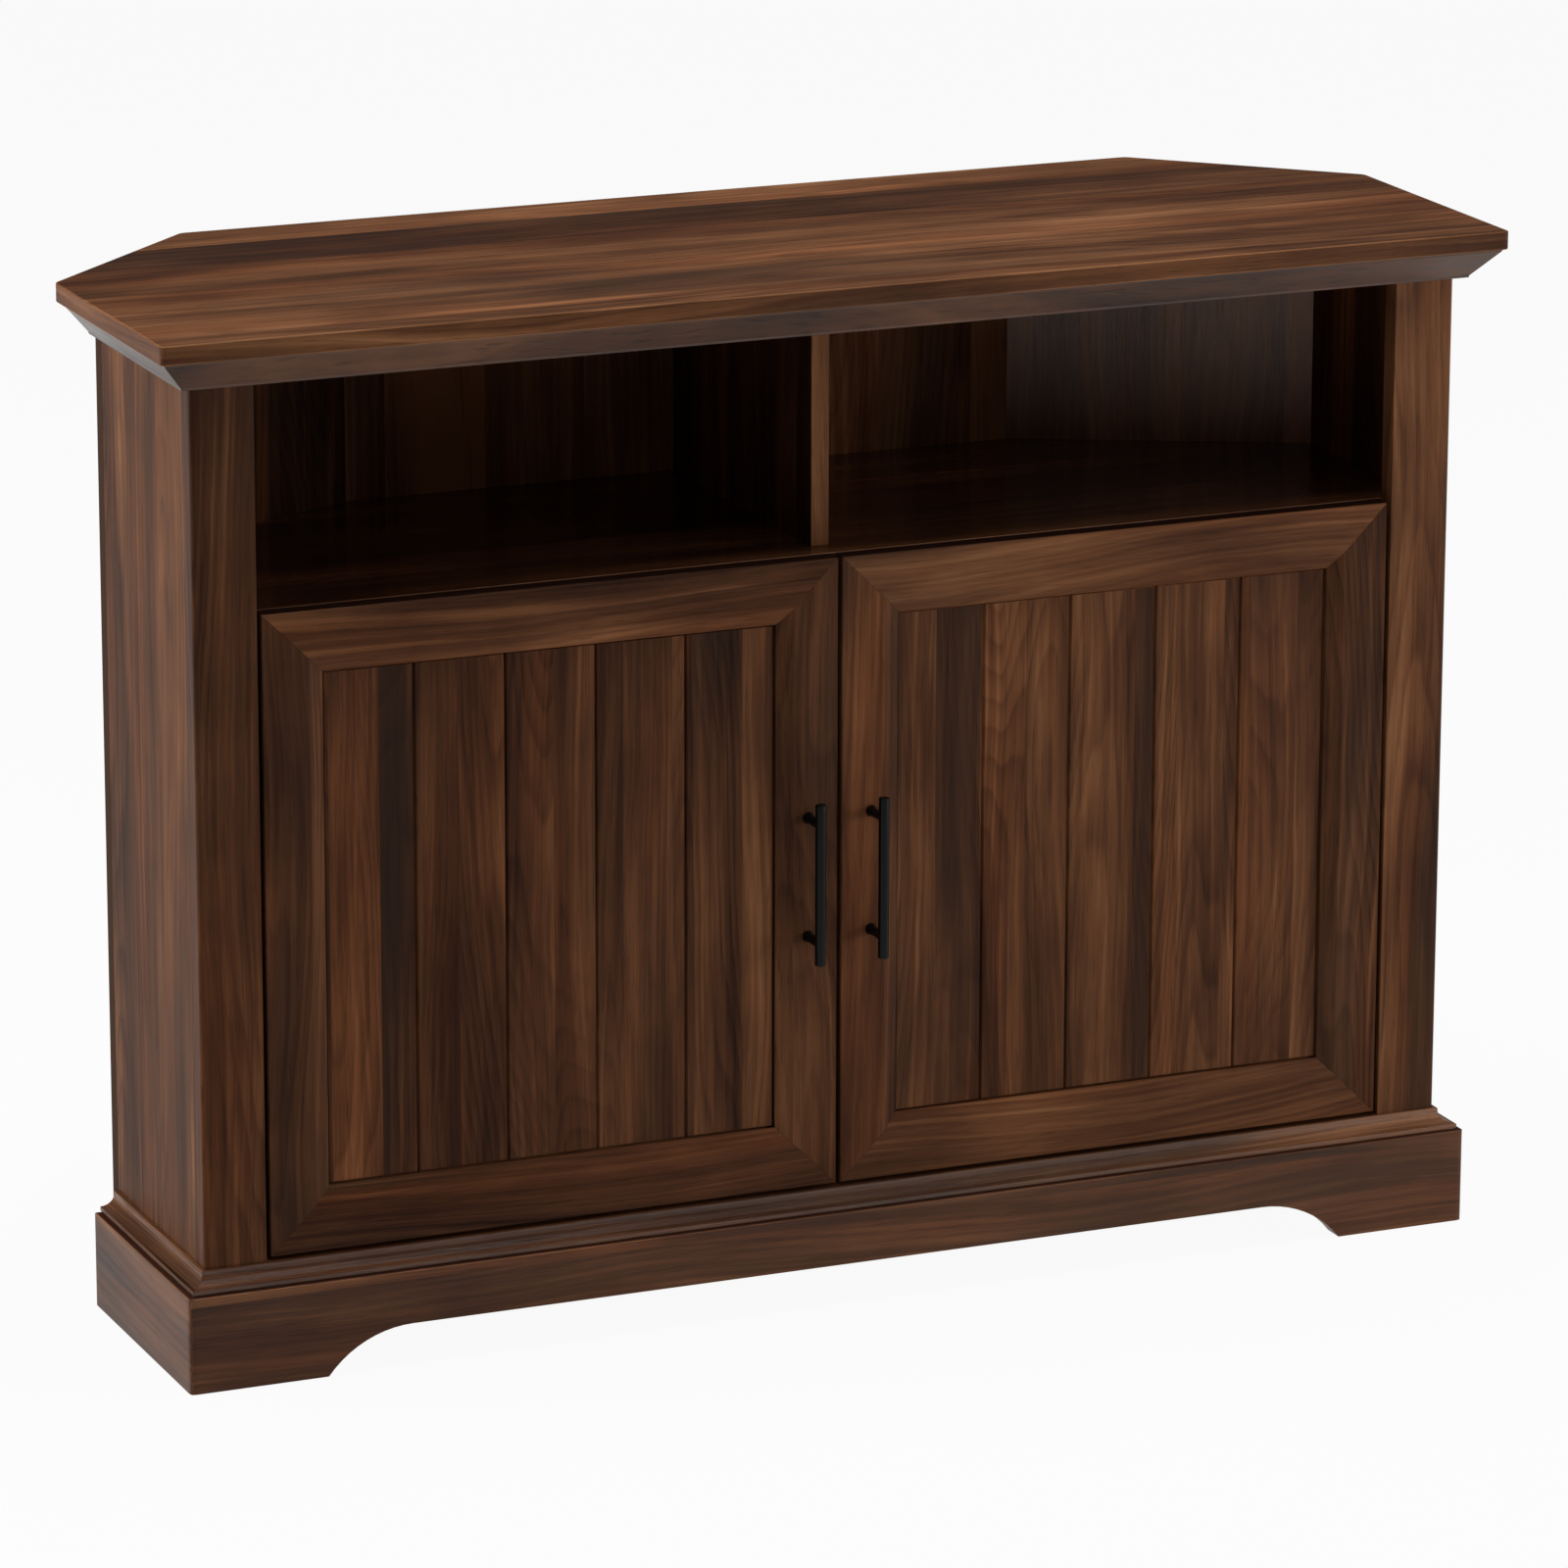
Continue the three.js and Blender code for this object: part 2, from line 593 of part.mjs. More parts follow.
function addFittings(cabinet) {
  for (const [sideName, side] of SIDES) {
    for (const [level, height] of hingeHeights) {
      addMesh(cabinet, sideName + "_hinge_arm_" + level, hingeArm(side, height), "nickel");
    }
    const front = DOOR_THICKNESS + STRIKE_THICKNESS + FIT_GAP;
    const across = [side * CATCH_DISTANCE - CATCH_WIDTH / 2, side * CATCH_DISTANCE + CATCH_WIDTH / 2];
    const low = [across[0], front, fixedShelfUnderside - CATCH_HEIGHT];
    const high = [across[1], front + CATCH_DEPTH, fixedShelfUnderside];
    addMesh(cabinet, sideName + "_magnetic_catch", block(low, high), "plastic");
  }
}

// A door frame member's section: [in from the door's edge, back from its face]. The face ends in a bevel
// towards the panel, and a groove behind the bevel holds the panel's edge.
function frameProfile() {
  const grooveBack = panelFace + DOOR_PANEL_THICKNESS + 2 * FIT_GAP;
  const grooveFloor = FRAME_WIDTH - GROOVE_DEPTH;
  return [
    [0, FRAME_ARRIS],
    [FRAME_ARRIS, 0],
    [FRAME_WIDTH - FRAME_BEVEL_WIDTH, 0],
    [FRAME_WIDTH, FRAME_BEVEL_DEPTH],
    [FRAME_WIDTH, panelFace],
    [grooveFloor, panelFace],
    [grooveFloor, grooveBack],
    [FRAME_WIDTH, grooveBack],
    [FRAME_WIDTH, DOOR_THICKNESS],
    [0, DOOR_THICKNESS],
  ];
}

// The recessed panel: planks side by side with a V groove between each two.
function doorPanel(side) {
  const grooveFloor = FRAME_WIDTH - GROOVE_DEPTH + FIT_GAP;
  const face = panelFace + FIT_GAP;
  const back = face + DOOR_PANEL_THICKNESS;
  const plank = (doorWidth - 2 * FRAME_WIDTH) / PLANK_COUNT;
  const grooves = Array.from({ length: PLANK_COUNT - 1 }, (_, i) => {
    const middle = FRAME_WIDTH + plank * (i + 1);
    return [
      [middle - PLANK_GROOVE_WIDTH / 2, face],
      [middle, face + PLANK_GROOVE_DEPTH],
      [middle + PLANK_GROOVE_WIDTH / 2, face],
    ];
  });
  const outline = [
    [grooveFloor, face],
    ...grooves.flat(),
    [doorWidth - grooveFloor, face],
    [doorWidth - grooveFloor, back],
    [grooveFloor, back],
  ];
  return raise(shapeOf(mirrored(outline, side)), grooveFloor, doorHeight - grooveFloor);
}

// A cup bored into the door's back, with a flange and two screw wings lying on the board.
function hingeCup(x, height) {
  const inner = CUP_RADIUS - CUP_WALL;
  const bottom = FIT_GAP - CUP_DEPTH;
  const cup = turned([
    [0, bottom],
    [CUP_RADIUS, bottom],
    [CUP_RADIUS, 0],
    [CUP_FLANGE_RADIUS, 0],
    [CUP_FLANGE_RADIUS, CUP_FLANGE],
    [inner, CUP_FLANGE],
    [inner, bottom + CUP_WALL],
    [0, bottom + CUP_WALL],
  ], TURNED_STEPS);
  const halfWidth = CUP_WING_WIDTH / 2;
  const halfLength = CUP_WING_LENGTH / 2;
  const wings = block([-halfWidth, -halfLength, 0], [halfWidth, halfLength, CUP_FLANGE]);
  const core = new THREE.CylinderGeometry(inner, inner, CUP_FLANGE + CUT_OVERRUN, TURNED_STEPS);
  const plate = cut(wings, core.rotateX(Math.PI / 2));
  return join(cup, plate).rotateX(-Math.PI / 2).translate(x, DOOR_THICKNESS, height);
}

function cupBore(x, height) {
  const radius = CUP_RADIUS + CUP_CLEARANCE;
  const length = CUP_DEPTH + CUT_OVERRUN;
  const bore = new THREE.CylinderGeometry(radius, radius, length, TURNED_STEPS);
  return bore.translate(x, DOOR_THICKNESS - CUP_DEPTH + length / 2, height);
}

// A bar pull: an upright bar on two standoffs, welded to it.
function barHandle(x) {
  const half = HANDLE_LENGTH / 2;
  const bar = turned([
    [0, -half],
    [HANDLE_RADIUS - HANDLE_END_ROUND, -half],
    [HANDLE_RADIUS, HANDLE_END_ROUND - half],
    [HANDLE_RADIUS, half - HANDLE_END_ROUND],
    [HANDLE_RADIUS - HANDLE_END_ROUND, half],
    [0, half],
  ], TURNED_STEPS).translate(0, -HANDLE_PROJECTION, 0);
  const standoffs = [-1, 1].map((end) => {
    const post = turned([
      [0, 0],
      [STANDOFF_FOOT_RADIUS, 0],
      [STANDOFF_RADIUS, STANDOFF_FOOT_LENGTH],
      [STANDOFF_RADIUS, HANDLE_PROJECTION],
      [0, HANDLE_PROJECTION],
    ], TURNED_STEPS);
    return post.rotateX(Math.PI / 2).translate(0, 0, (end * HANDLE_SPACING) / 2);
  });
  return join(bar, ...standoffs).translate(x, 0, doorHeight / 2);
}

// One door, in its own group at its outer lower corner. Its hinge edge is at zero and it reaches inwards.
function addDoor(cabinet, sideName, side) {
  const door = new THREE.Group();
  door.position.set(side * (openingHalf - DOOR_GAP), 0, doorBottom);
  cabinet.add(door);
  const profile = frameProfile();
  const mitre = INSIDE_MITRE_SHARE;
  const hingeStile = (along, out, up) => [-side * out, up, along];
  const meetingStile = (along, out, up) => [-side * (doorWidth - out), up, along];
  const bottomRail = (along, out, up) => [-side * along, up, out];
  const topRail = (along, out, up) => [-side * along, up, doorHeight - out];
  const bar = (length, place) => mitredBar(profile, length, mitre, mitre, place);
  const cups = hingeHeights.map(([level, height]) => [level, height - doorBottom]);
  const bores = cups.map(([, height]) => cupBore(-side * CUP_EDGE_DISTANCE, height));
  const named = (piece) => sideName + "_door_" + piece;
  addMesh(door, named("hinge_stile"), cut(bar(doorHeight, hingeStile), ...bores), "walnut");
  addMesh(door, named("meeting_stile"), bar(doorHeight, meetingStile), "walnut");
  addMesh(door, named("bottom_rail"), bar(doorWidth, bottomRail), "walnut");
  addMesh(door, named("top_rail"), bar(doorWidth, topRail), "walnut");
  addMesh(door, named("panel"), doorPanel(-side), "walnut");
  for (const [level, height] of cups) {
    const cup = hingeCup(-side * CUP_EDGE_DISTANCE, height);
    addMesh(door, sideName + "_hinge_cup_" + level, cup, "nickel");
  }
  const handle = barHandle(-side * (doorWidth - FRAME_WIDTH / 2));
  addMesh(door, sideName + "_handle", handle, "blackMetal");
  const middle = side * (CATCH_DISTANCE - (openingHalf - DOOR_GAP));
  const strikeTop = fixedShelfUnderside - doorBottom - (CATCH_HEIGHT - STRIKE_HEIGHT) / 2;
  const low = [middle - STRIKE_WIDTH / 2, DOOR_THICKNESS, strikeTop - STRIKE_HEIGHT];
  const high = [middle + STRIKE_WIDTH / 2, DOOR_THICKNESS + STRIKE_THICKNESS, strikeTop];
  addMesh(door, sideName + "_strike_plate", block(low, high), "nickel");
}

// The cabinet group has its front plane at y = 0, and stands so that the top is centred on the origin.
const cabinet = new THREE.Group();
cabinet.position.y = frontPlane;
addTop(cabinet);
addCrown(cabinet);
addPosts(cabinet);
addSides(cabinet);
addBack(cabinet);
addBoards(cabinet);
addPlinth(cabinet);
addBaseMoulding(cabinet);
addLooseShelves(cabinet);
addFittings(cabinet);
for (const [sideName, side] of SIDES) addDoor(cabinet, sideName, side);

const group = new THREE.Group();
group.add(cabinet);

export default group;
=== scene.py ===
"""Looks for a corner television cabinet: walnut laminate, coated bar pulls and plated hinges."""

import json
import logging
import math
from collections.abc import Iterable, Sequence
from dataclasses import dataclass, field
from enum import Enum

import bmesh
import bpy
from mathutils import Euler, Matrix, Vector

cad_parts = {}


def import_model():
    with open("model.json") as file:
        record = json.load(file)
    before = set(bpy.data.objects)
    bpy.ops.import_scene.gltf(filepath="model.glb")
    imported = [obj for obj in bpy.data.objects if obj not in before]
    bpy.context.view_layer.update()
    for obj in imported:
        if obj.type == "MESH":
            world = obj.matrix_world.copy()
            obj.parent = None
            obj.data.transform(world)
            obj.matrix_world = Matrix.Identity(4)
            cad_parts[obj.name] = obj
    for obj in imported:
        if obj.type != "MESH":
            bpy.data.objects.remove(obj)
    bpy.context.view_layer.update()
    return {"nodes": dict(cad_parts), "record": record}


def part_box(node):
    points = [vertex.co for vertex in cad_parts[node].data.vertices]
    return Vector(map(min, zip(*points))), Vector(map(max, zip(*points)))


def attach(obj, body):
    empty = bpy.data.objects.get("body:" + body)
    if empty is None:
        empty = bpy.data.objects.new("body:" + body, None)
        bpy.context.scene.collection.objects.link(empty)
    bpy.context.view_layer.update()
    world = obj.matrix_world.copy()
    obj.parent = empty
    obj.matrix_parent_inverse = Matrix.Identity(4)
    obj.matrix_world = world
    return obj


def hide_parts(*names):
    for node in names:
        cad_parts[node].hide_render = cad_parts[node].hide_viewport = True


Triple = tuple[float, float, float]
Rgb = tuple[int, int, int]
Shade = tuple[float, float, float, float]
Profile = list[tuple[float, float]]
ScrewRow = tuple[Triple, Triple, int, Triple, float]
Socket = bpy.types.NodeSocket
Sockets = bpy.types.NodeOutputs
Piece = bpy.types.Object

LOG = logging.getLogger("corner_cabinet")

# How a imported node's triangles become clean faces again, and which of its edges are eased
MERGE_DISTANCE = 2e-5
FLAT_ANGLE_DEG = 0.6
SHARP_ANGLE_DEG = 35.0
SMOOTH_ANGLE_DEG = 40.0
MITRE_TOLERANCE = 0.003

# The laminate's gloss and relief, shared by every board
SQUARE_ON = 0.8
EDGE_BAND_ARCS = 0.1
FIBRE_RANGE = (0.2, 0.8)
SMOOTHER, ROUGHER = -0.05, 0.07
BARE_ROUGHER = 0.25
GRAIN_BUMP = 0.35
GRAIN_DEPTH = 0.0002
CHIP_SCALE, CHIP_DETAIL, CHIP_SHADE = 700.0, 3.0, 0.8
CHIP_STOPS = (0.35, 0.65)
# Where a rounded arris lies, by how steeply it faces up; it gets a painted highlight
ARRIS_SLOPE, ARRIS_SLOPE_RANGE = 0.6, 0.34


def linear(red: int, green: int, blue: int) -> Shade:
    """Turns a colour of the screen into a shader colour.

    Args:
        red: Red from 0 to 255.
        green: Green from 0 to 255.
        blue: Blue from 0 to 255.

    Returns:
        Linear red, green, blue and an alpha of one.
    """
    shares = [value / 255 for value in (red, green, blue)]
    bent = [s / 12.92 if s <= 0.04045 else ((s + 0.055) / 1.055) ** 2.4 for s in shares]
    return bent[0], bent[1], bent[2], 1.0


class Grain(Enum):
    """The way a board's grain runs, as the order of X, Y and Z along, across and through it."""

    WIDTH = (0, 1, 2)
    DEPTH = (1, 0, 2)
    HEIGHT = (2, 0, 1)


class PlainFaces(Enum):
    """The faces of a board that take a plain colour instead of the figure, as a direction and how
    squarely they face it.
    """

    NONE = ((0.0, 0.0, 1.0), 2.0)
    # The upward faces, which take a plain darker colour
    TOP = ((0.0, 0.0, 1.0), 0.85)
    UNDERSIDE = ((0.0, 0.0, -1.0), 0.85)
    ALL_BUT_FRONT = ((0.0, 1.0, 0.0), -0.5)


class Wiring:
    """Adds nodes to one tree and joins them up."""

    def __init__(self, tree: bpy.types.NodeTree) -> None:
        """Keeps the tree that the nodes go into."""
        self.tree = tree

    def feed(self, socket: Socket, value: object) -> None:
        """Links a socket to another, or sets its value.

        Args:
            socket: The input to fill.
            value: An output socket, or a plain value.
        """
        if isinstance(value, Socket):
            self.tree.links.new(value, socket)
        else:
            socket.default_value = value

    def node(
        self, kind: str, inputs: dict[str | int, object] | None = None, **settings: object
    ) -> bpy.types.Node:
        """Adds one node.

        Args:
            kind: The node's type name.
            inputs: What goes into its sockets, by name or place.
            **settings: Properties to set on the node first.

        Returns:
            The new node.
        """
        made = self.tree.nodes.new(kind)
        for name, value in settings.items():
            setattr(made, name, value)
        for key, value in (inputs or {}).items():
            self.feed(made.inputs[key], value)
        return made

    def number(self, operation: str, *values: object) -> Socket:
        """Adds a Math node and returns its result."""
        inputs = dict(enumerate(values))
        return self.node("ShaderNodeMath", inputs, operation=operation).outputs[0]

    def chance(self, seed: Socket) -> Sockets:
        """Draws a number and a colour by chance, the same ones for the same seed."""
        return self.node("ShaderNodeTexWhiteNoise", {"W": seed}, noise_dimensions="1D").outputs

    def spread(
        self, value: Socket, low: float, high: float, to_low: float = 0.0, to_high: float = 1.0
    ) -> Socket:
        """Maps a range of a number onto another range, with soft ends."""
        inputs = {0: value, 1: low, 2: high, 3: to_low, 4: to_high}
        return self.node("ShaderNodeMapRange", inputs, interpolation_type="SMOOTHSTEP").outputs[0]

    def ramp(self, value: Socket, stops: Sequence[float], tones: Iterable[Rgb]) -> Socket:
        """Turns a number into a colour.

        Args:
            value: The number, from zero to one.
            stops: The places of the colours.
            tones: The colours.

        Returns:
            The colour socket.
        """
        made = self.node("ShaderNodeValToRGB", {0: value})
        elements = made.color_ramp.elements
        while len(elements) < len(stops):
            elements.new(0.5)
        for element, place, tone in zip(elements, stops, tones):
            element.position = place
            element.color = linear(*tone)
        return made.outputs[0]

    def mixed_number(self, share: object, first: object, second: object) -> Socket:
        """Mixes two numbers."""
        return self.node("ShaderNodeMix", {0: share, 2: first, 3: second}).outputs[0]

    def mixed(self, share: object, first: object, second: object, mode: str = "MIX") -> Socket:
        """Mixes two colours."""
        inputs = {0: share, 6: first, 7: second}
        return self.node("ShaderNodeMix", inputs, data_type="RGBA", blend_type=mode).outputs[2]

    def surface(
        self,
        colour: Socket,
        rough: Socket,
        relief: dict[str | int, object],
        specular: float,
        metallic: float = 0.0,
    ) -> None:
        """Ends a material in one shader.

        Args:
            colour: The base colour.
            rough: The roughness.
            relief: What goes into the Bump node.
            specular: The specular level, the same all over.
            metallic: One for bare metal, the same all over.
        """
        bump = self.node("ShaderNodeBump", relief).outputs[0]
        inputs = {"Base Color": colour, "Roughness": rough, "Normal": bump}
        inputs |= {"Specular IOR Level": specular, "Metallic": metallic}
        shader = self.node("ShaderNodeBsdfPrincipled", inputs)
        self.node("ShaderNodeOutputMaterial", {"Surface": shader.outputs[0]})


def blank_material(name: str) -> tuple[bpy.types.Material, Wiring]:
    """Starts a material with an empty tree.

    Args:
        name: The material's name.

    Returns:
        The material and the wiring of its tree.
    """
    made = bpy.data.materials.new(name)
    made.use_nodes = True
    made.node_tree.nodes.clear()
    return made, Wiring(made.node_tree)


@dataclass(frozen=True)
class Ground:
    """Where a point lies in the figure: along and across the grain, and its strip's seed."""

    along: Socket
    across: Socket
    seed: Socket


@dataclass(frozen=True)
class Layer:
    """One noise of the figure: its cells to the metre, where it starts and how much it counts."""

    along: float
    across: float
    shift: float
    weight: float
    detail: float = 3.0
    window: tuple[float, float] | None = None

    def noise(self, wiring: Wiring, ground: Ground) -> Socket:
        """Adds the noise, stretched along the grain.

        Args:
            wiring: The wiring of the figure's group.
            ground: Where the noise is read.

        Returns:
            The noise from zero to one, where there is a window as a share of it.
        """
        seed = wiring.number("ADD", ground.seed, self.shift) if self.shift else ground.seed
        u = wiring.number("MULTIPLY", ground.along, self.along)
        v = wiring.number("MULTIPLY", ground.across, self.across)
        place = wiring.node("ShaderNodeCombineXYZ", {0: u, 1: v, 2: seed}).outputs[0]
        inputs = {"Vector": place, "Scale": 1.0, "Detail": self.detail}
        noise = wiring.node("ShaderNodeTexNoise", inputs).outputs[0]
        return wiring.spread(noise, *self.window) if self.window else noise


@dataclass(frozen=True)
class WalnutFigure:
    """The printed walnut figure that every laminated board shares, as one node group."""

    name: str = "walnut figure"
    darkest: Rgb = (37, 20, 11)
    dark: Rgb = (63, 37, 23)
    middle: Rgb = (90, 56, 35)
    light: Rgb = (120, 78, 50)
    lightest: Rgb = (156, 107, 72)
    stops: tuple[float, ...] = (0.0, 0.26, 0.5, 0.74, 1.0)
    smoky: Rgb = (54, 40, 31)
    warmth: Shade = (1.0, 0.79, 0.67, 1.0)
    base_shade: float = 0.58
    sway: Layer = Layer(1.6, 5.0, 0.0, 0.07, 1.0)
    shiver: Layer = Layer(9.0, 22.0, 0.0, 0.005, 1.0)
    streaks: Layer = Layer(1.1, 17.0, 5.3, 1.3)
    bands: Layer = Layer(4.0, 30.0, 7.7, 0.45)
    clouds: Layer = Layer(7.0, 16.0, 12.1, 0.55)
    lines: Layer = Layer(5.0, 240.0, 9.1, 0.55)
    strokes: Layer = Layer(2.2, 110.0, 4.4, 0.22, 2.0, (0.52, 0.78))
    warm_patches: Layer = Layer(1.4, 15.0, 6.6, 0.55, 2.0, (0.44, 0.66))
    smoky_patches: Layer = Layer(1.6, 12.0, 2.2, 0.5, 3.0, (0.5, 0.68))
    fibres: Layer = Layer(16.0, 900.0, 0.0, 0.2, 2.0)
    fibre_relief: float = 0.4
    pores: Layer = Layer(42.0, 1500.0, 0.0, -0.12, 1.0, (0.56, 0.72))
    ring_hills: Layer = Layer(1.3, 9.0, 1.4, 34.0, 1.0)
    ring_wander: Layer = Layer(0.6, 40.0, 3.3, 2.4, 1.0)
    ring_patches: Layer = Layer(0.9, 10.0, 8.6, 0.28, 1.0, (0.36, 0.62))
    ring_weight: float = 0.22
    rings_to_metre: float = 50.0
    ring_rise: float = 2.2
    ring_edge: float = 0.82
    board_stride: float = 3.7
    plank_stride: float = 11.3
    strip_stride: float = 1.7
    plank_slide: float = 0.9
    strip_slide: float = 3.0
    strip_seeds: float = 20.0

    def group(self) -> bpy.types.NodeTree:
        """Builds the group, or returns the one already made.

        Returns:
            The node group, with a colour, a gloss number and a height as outputs.
        """
        if self.name in bpy.data.node_groups:
            return bpy.data.node_groups[self.name]
        tree = bpy.data.node_groups.new(self.name, "ShaderNodeTree")
        places = ("Along", "Across", "Seed")
        strips = ("Strip Width", "Strip Contrast", "Plank Width", "Plank Start")
        for title in (*places, *strips, "Tone", "Arcs"):
            tree.interface.new_socket(name=title, in_out="INPUT", socket_type="NodeSocketFloat")
        tree.interface.new_socket(name="Color", in_out="OUTPUT", socket_type="NodeSocketColor")
        for title in ("Gloss", "Height"):
            tree.interface.new_socket(name=title, in_out="OUTPUT", socket_type="NodeSocketFloat")
        self._fill(Wiring(tree))
        return tree

    def _fill(self, wiring: Wiring) -> None:
        """Fills the group with its nodes.

        Args:
            wiring: The group's wiring.
        """
        given = wiring.node("NodeGroupInput").outputs
        straight, strip_tone = self._strips(wiring, given)
        bent = self._bent(wiring, straight)
        fibres = self.fibres.noise(wiring, straight)
        layers = (self.streaks, self.bands, self.clouds, self.lines)
        parts = [(layer.noise(wiring, bent), layer.weight) for layer in layers]
        parts += [
            (self._rings(wiring, bent, given["Arcs"]), self.ring_weight),
            (self.strokes.noise(wiring, bent), self.strokes.weight),
            (strip_tone, given["Strip Contrast"]),
            (fibres, self.fibres.weight),
        ]
        shade = wiring.number("ADD", given["Tone"], self.base_shade)
        for part, weight in parts:
            offset = wiring.number("MULTIPLY", wiring.number("SUBTRACT", part, 0.5), weight)
            shade = wiring.number("ADD", shade, offset)
        pores = self.pores.noise(wiring, straight)
        shade = wiring.number("MULTIPLY_ADD", pores, self.pores.weight, shade)
        relief = wiring.number("MULTIPLY", fibres, self.fibre_relief)
        height = wiring.number("SUBTRACT", relief, pores)
        colour = self._colour(wiring, bent, shade)
        wiring.node("NodeGroupOutput", {"Color": colour, "Gloss": fibres, "Height": height})

    def _bent(self, wiring: Wiring, straight: Ground) -> Ground:
        """Bends the place across the grain, slowly and with a slight shiver.

        Args:
            wiring: The group's wiring.
            straight: Where each point lies within its strip.

        Returns:
            The same, bent.
        """
        across = straight.across
        for layer in (self.sway, self.shiver):
            noise = layer.noise(wiring, straight)
            across = wiring.number("MULTIPLY_ADD", noise, layer.weight, across)
        return Ground(straight.along, across, straight.seed)

    def _colour(self, wiring: Wiring, bent: Ground, shade: Socket) -> Socket:
        """Turns the shade into walnut, with warmer and smokier patches.

        Args:
            wiring: The group's wiring.
            bent: Where each point lies, after the bend.
            shade: How light the walnut is, from zero to one.

        Returns:
            The walnut's colour.
        """
        tones = (self.darkest, self.dark, self.middle, self.light, self.lightest)
        colour = wiring.ramp(shade, self.stops, tones)
        for layer, tint, mode in (
            (self.warm_patches, self.warmth, "MULTIPLY"),
            (self.smoky_patches, linear(*self.smoky), "MIX"),
        ):
            share = wiring.number("MULTIPLY", layer.noise(wiring, bent), layer.weight)
            colour = wiring.mixed(share, colour, tint, mode)
        return colour

    def _strips(self, wiring: Wiring, given: Sockets) -> tuple[Ground, Socket]:
        """Divides the board into planks and strips, and moves the figure in each.

        Args:
            wiring: The group's wiring.
            given: The group's inputs.

        Returns:
            Where each point lies within its strip, and the strip's tone.
        """
        place = wiring.number("SUBTRACT", given["Across"], given["Plank Start"])
        plank = wiring.number("FLOOR", wiring.number("DIVIDE", place, given["Plank Width"]))
        stride = wiring.number("MULTIPLY", plank, self.plank_stride)
        plank_seed = wiring.number("MULTIPLY_ADD", given["Seed"], self.board_stride, stride)
        chance = wiring.chance(plank_seed)
        across = wiring.number("MULTIPLY_ADD", chance[0], self.plank_slide, given["Across"])
        strip = wiring.number("FLOOR", wiring.number("DIVIDE", across, given["Strip Width"]))
        stride = wiring.number("MULTIPLY", strip, self.strip_stride)
        strip_seed = wiring.number("ADD", plank_seed, stride)
        colour = wiring.chance(strip_seed)["Color"]
        tone, slide, seed = wiring.node("ShaderNodeSeparateColor", {0: colour}).outputs
        along = wiring.number("MULTIPLY_ADD", slide, self.strip_slide, given["Along"])
        seed = wiring.number("MULTIPLY_ADD", seed, self.strip_seeds, given["Seed"])
        return Ground(along, across, seed), tone

    def _rings(self, wiring: Wiring, bent: Ground, arcs: Socket) -> Socket:
        """Draws growth rings that fade slowly and end sharply.

        Args:
            wiring: The group's wiring.
            bent: Where each point lies, after the bend.
            arcs: How far the rings arch, from zero for straight ones to one.

        Returns:
            The rings, from zero to one.
        """
        hills = self.ring_hills.noise(wiring, bent)
        arcs = wiring.number("MULTIPLY", arcs, self.ring_hills.weight)
        arching = wiring.number("MULTIPLY", hills, arcs)
        count = wiring.number("MULTIPLY_ADD", bent.across, self.rings_to_metre, arching)
        wander = self.ring_wander.noise(wiring, bent)
        count = wiring.number("MULTIPLY_ADD", wander, self.ring_wander.weight, count)
        saw = wiring.number("FRACT", count)
        rise = wiring.number("POWER", saw, self.ring_rise)
        fall = wiring.spread(saw, self.ring_edge, 1.0, 1.0, 0.0)
        line = wiring.number("SUBTRACT", 1.0, wiring.number("MULTIPLY", rise, fall))
        patches = self.ring_patches.noise(wiring, bent)
        return wiring.mixed_number(patches, 1.0 - self.ring_patches.weight, line)


FIGURE = WalnutFigure()


@dataclass(frozen=True)
class WalnutBoard:
    """The finish of one laminated board, with its own stretch of the figure."""

    grain: Grain
    seed: float
    tone: float = 0.0
    arcs: float = 1.0
    strip_width: float = 0.085
    strip_contrast: float = 0.3
    plank_width: float = 20.0
    plank_start: float = -10.0
    turn_deg: float = 0.0
    plain: PlainFaces = PlainFaces.NONE
    plain_colour: Rgb = (52, 32, 24)
    # Painted light: how much lighter the faces looking to the front are
    front_painted_light: float = 0.0
    # Painted highlight: how much lighter the rounded arrises are
    arris_highlight: float = 0.0
    roughness: float = 0.42
    specular: float = 0.06
    slot: str = "walnut"

    def material(self, name: str) -> bpy.types.Material:
        """Builds the board's material.

        Args:
            name: The name of the piece that wears it.

        Returns:
            The new material.
        """
        return LaminateNodes(self, name).finished()


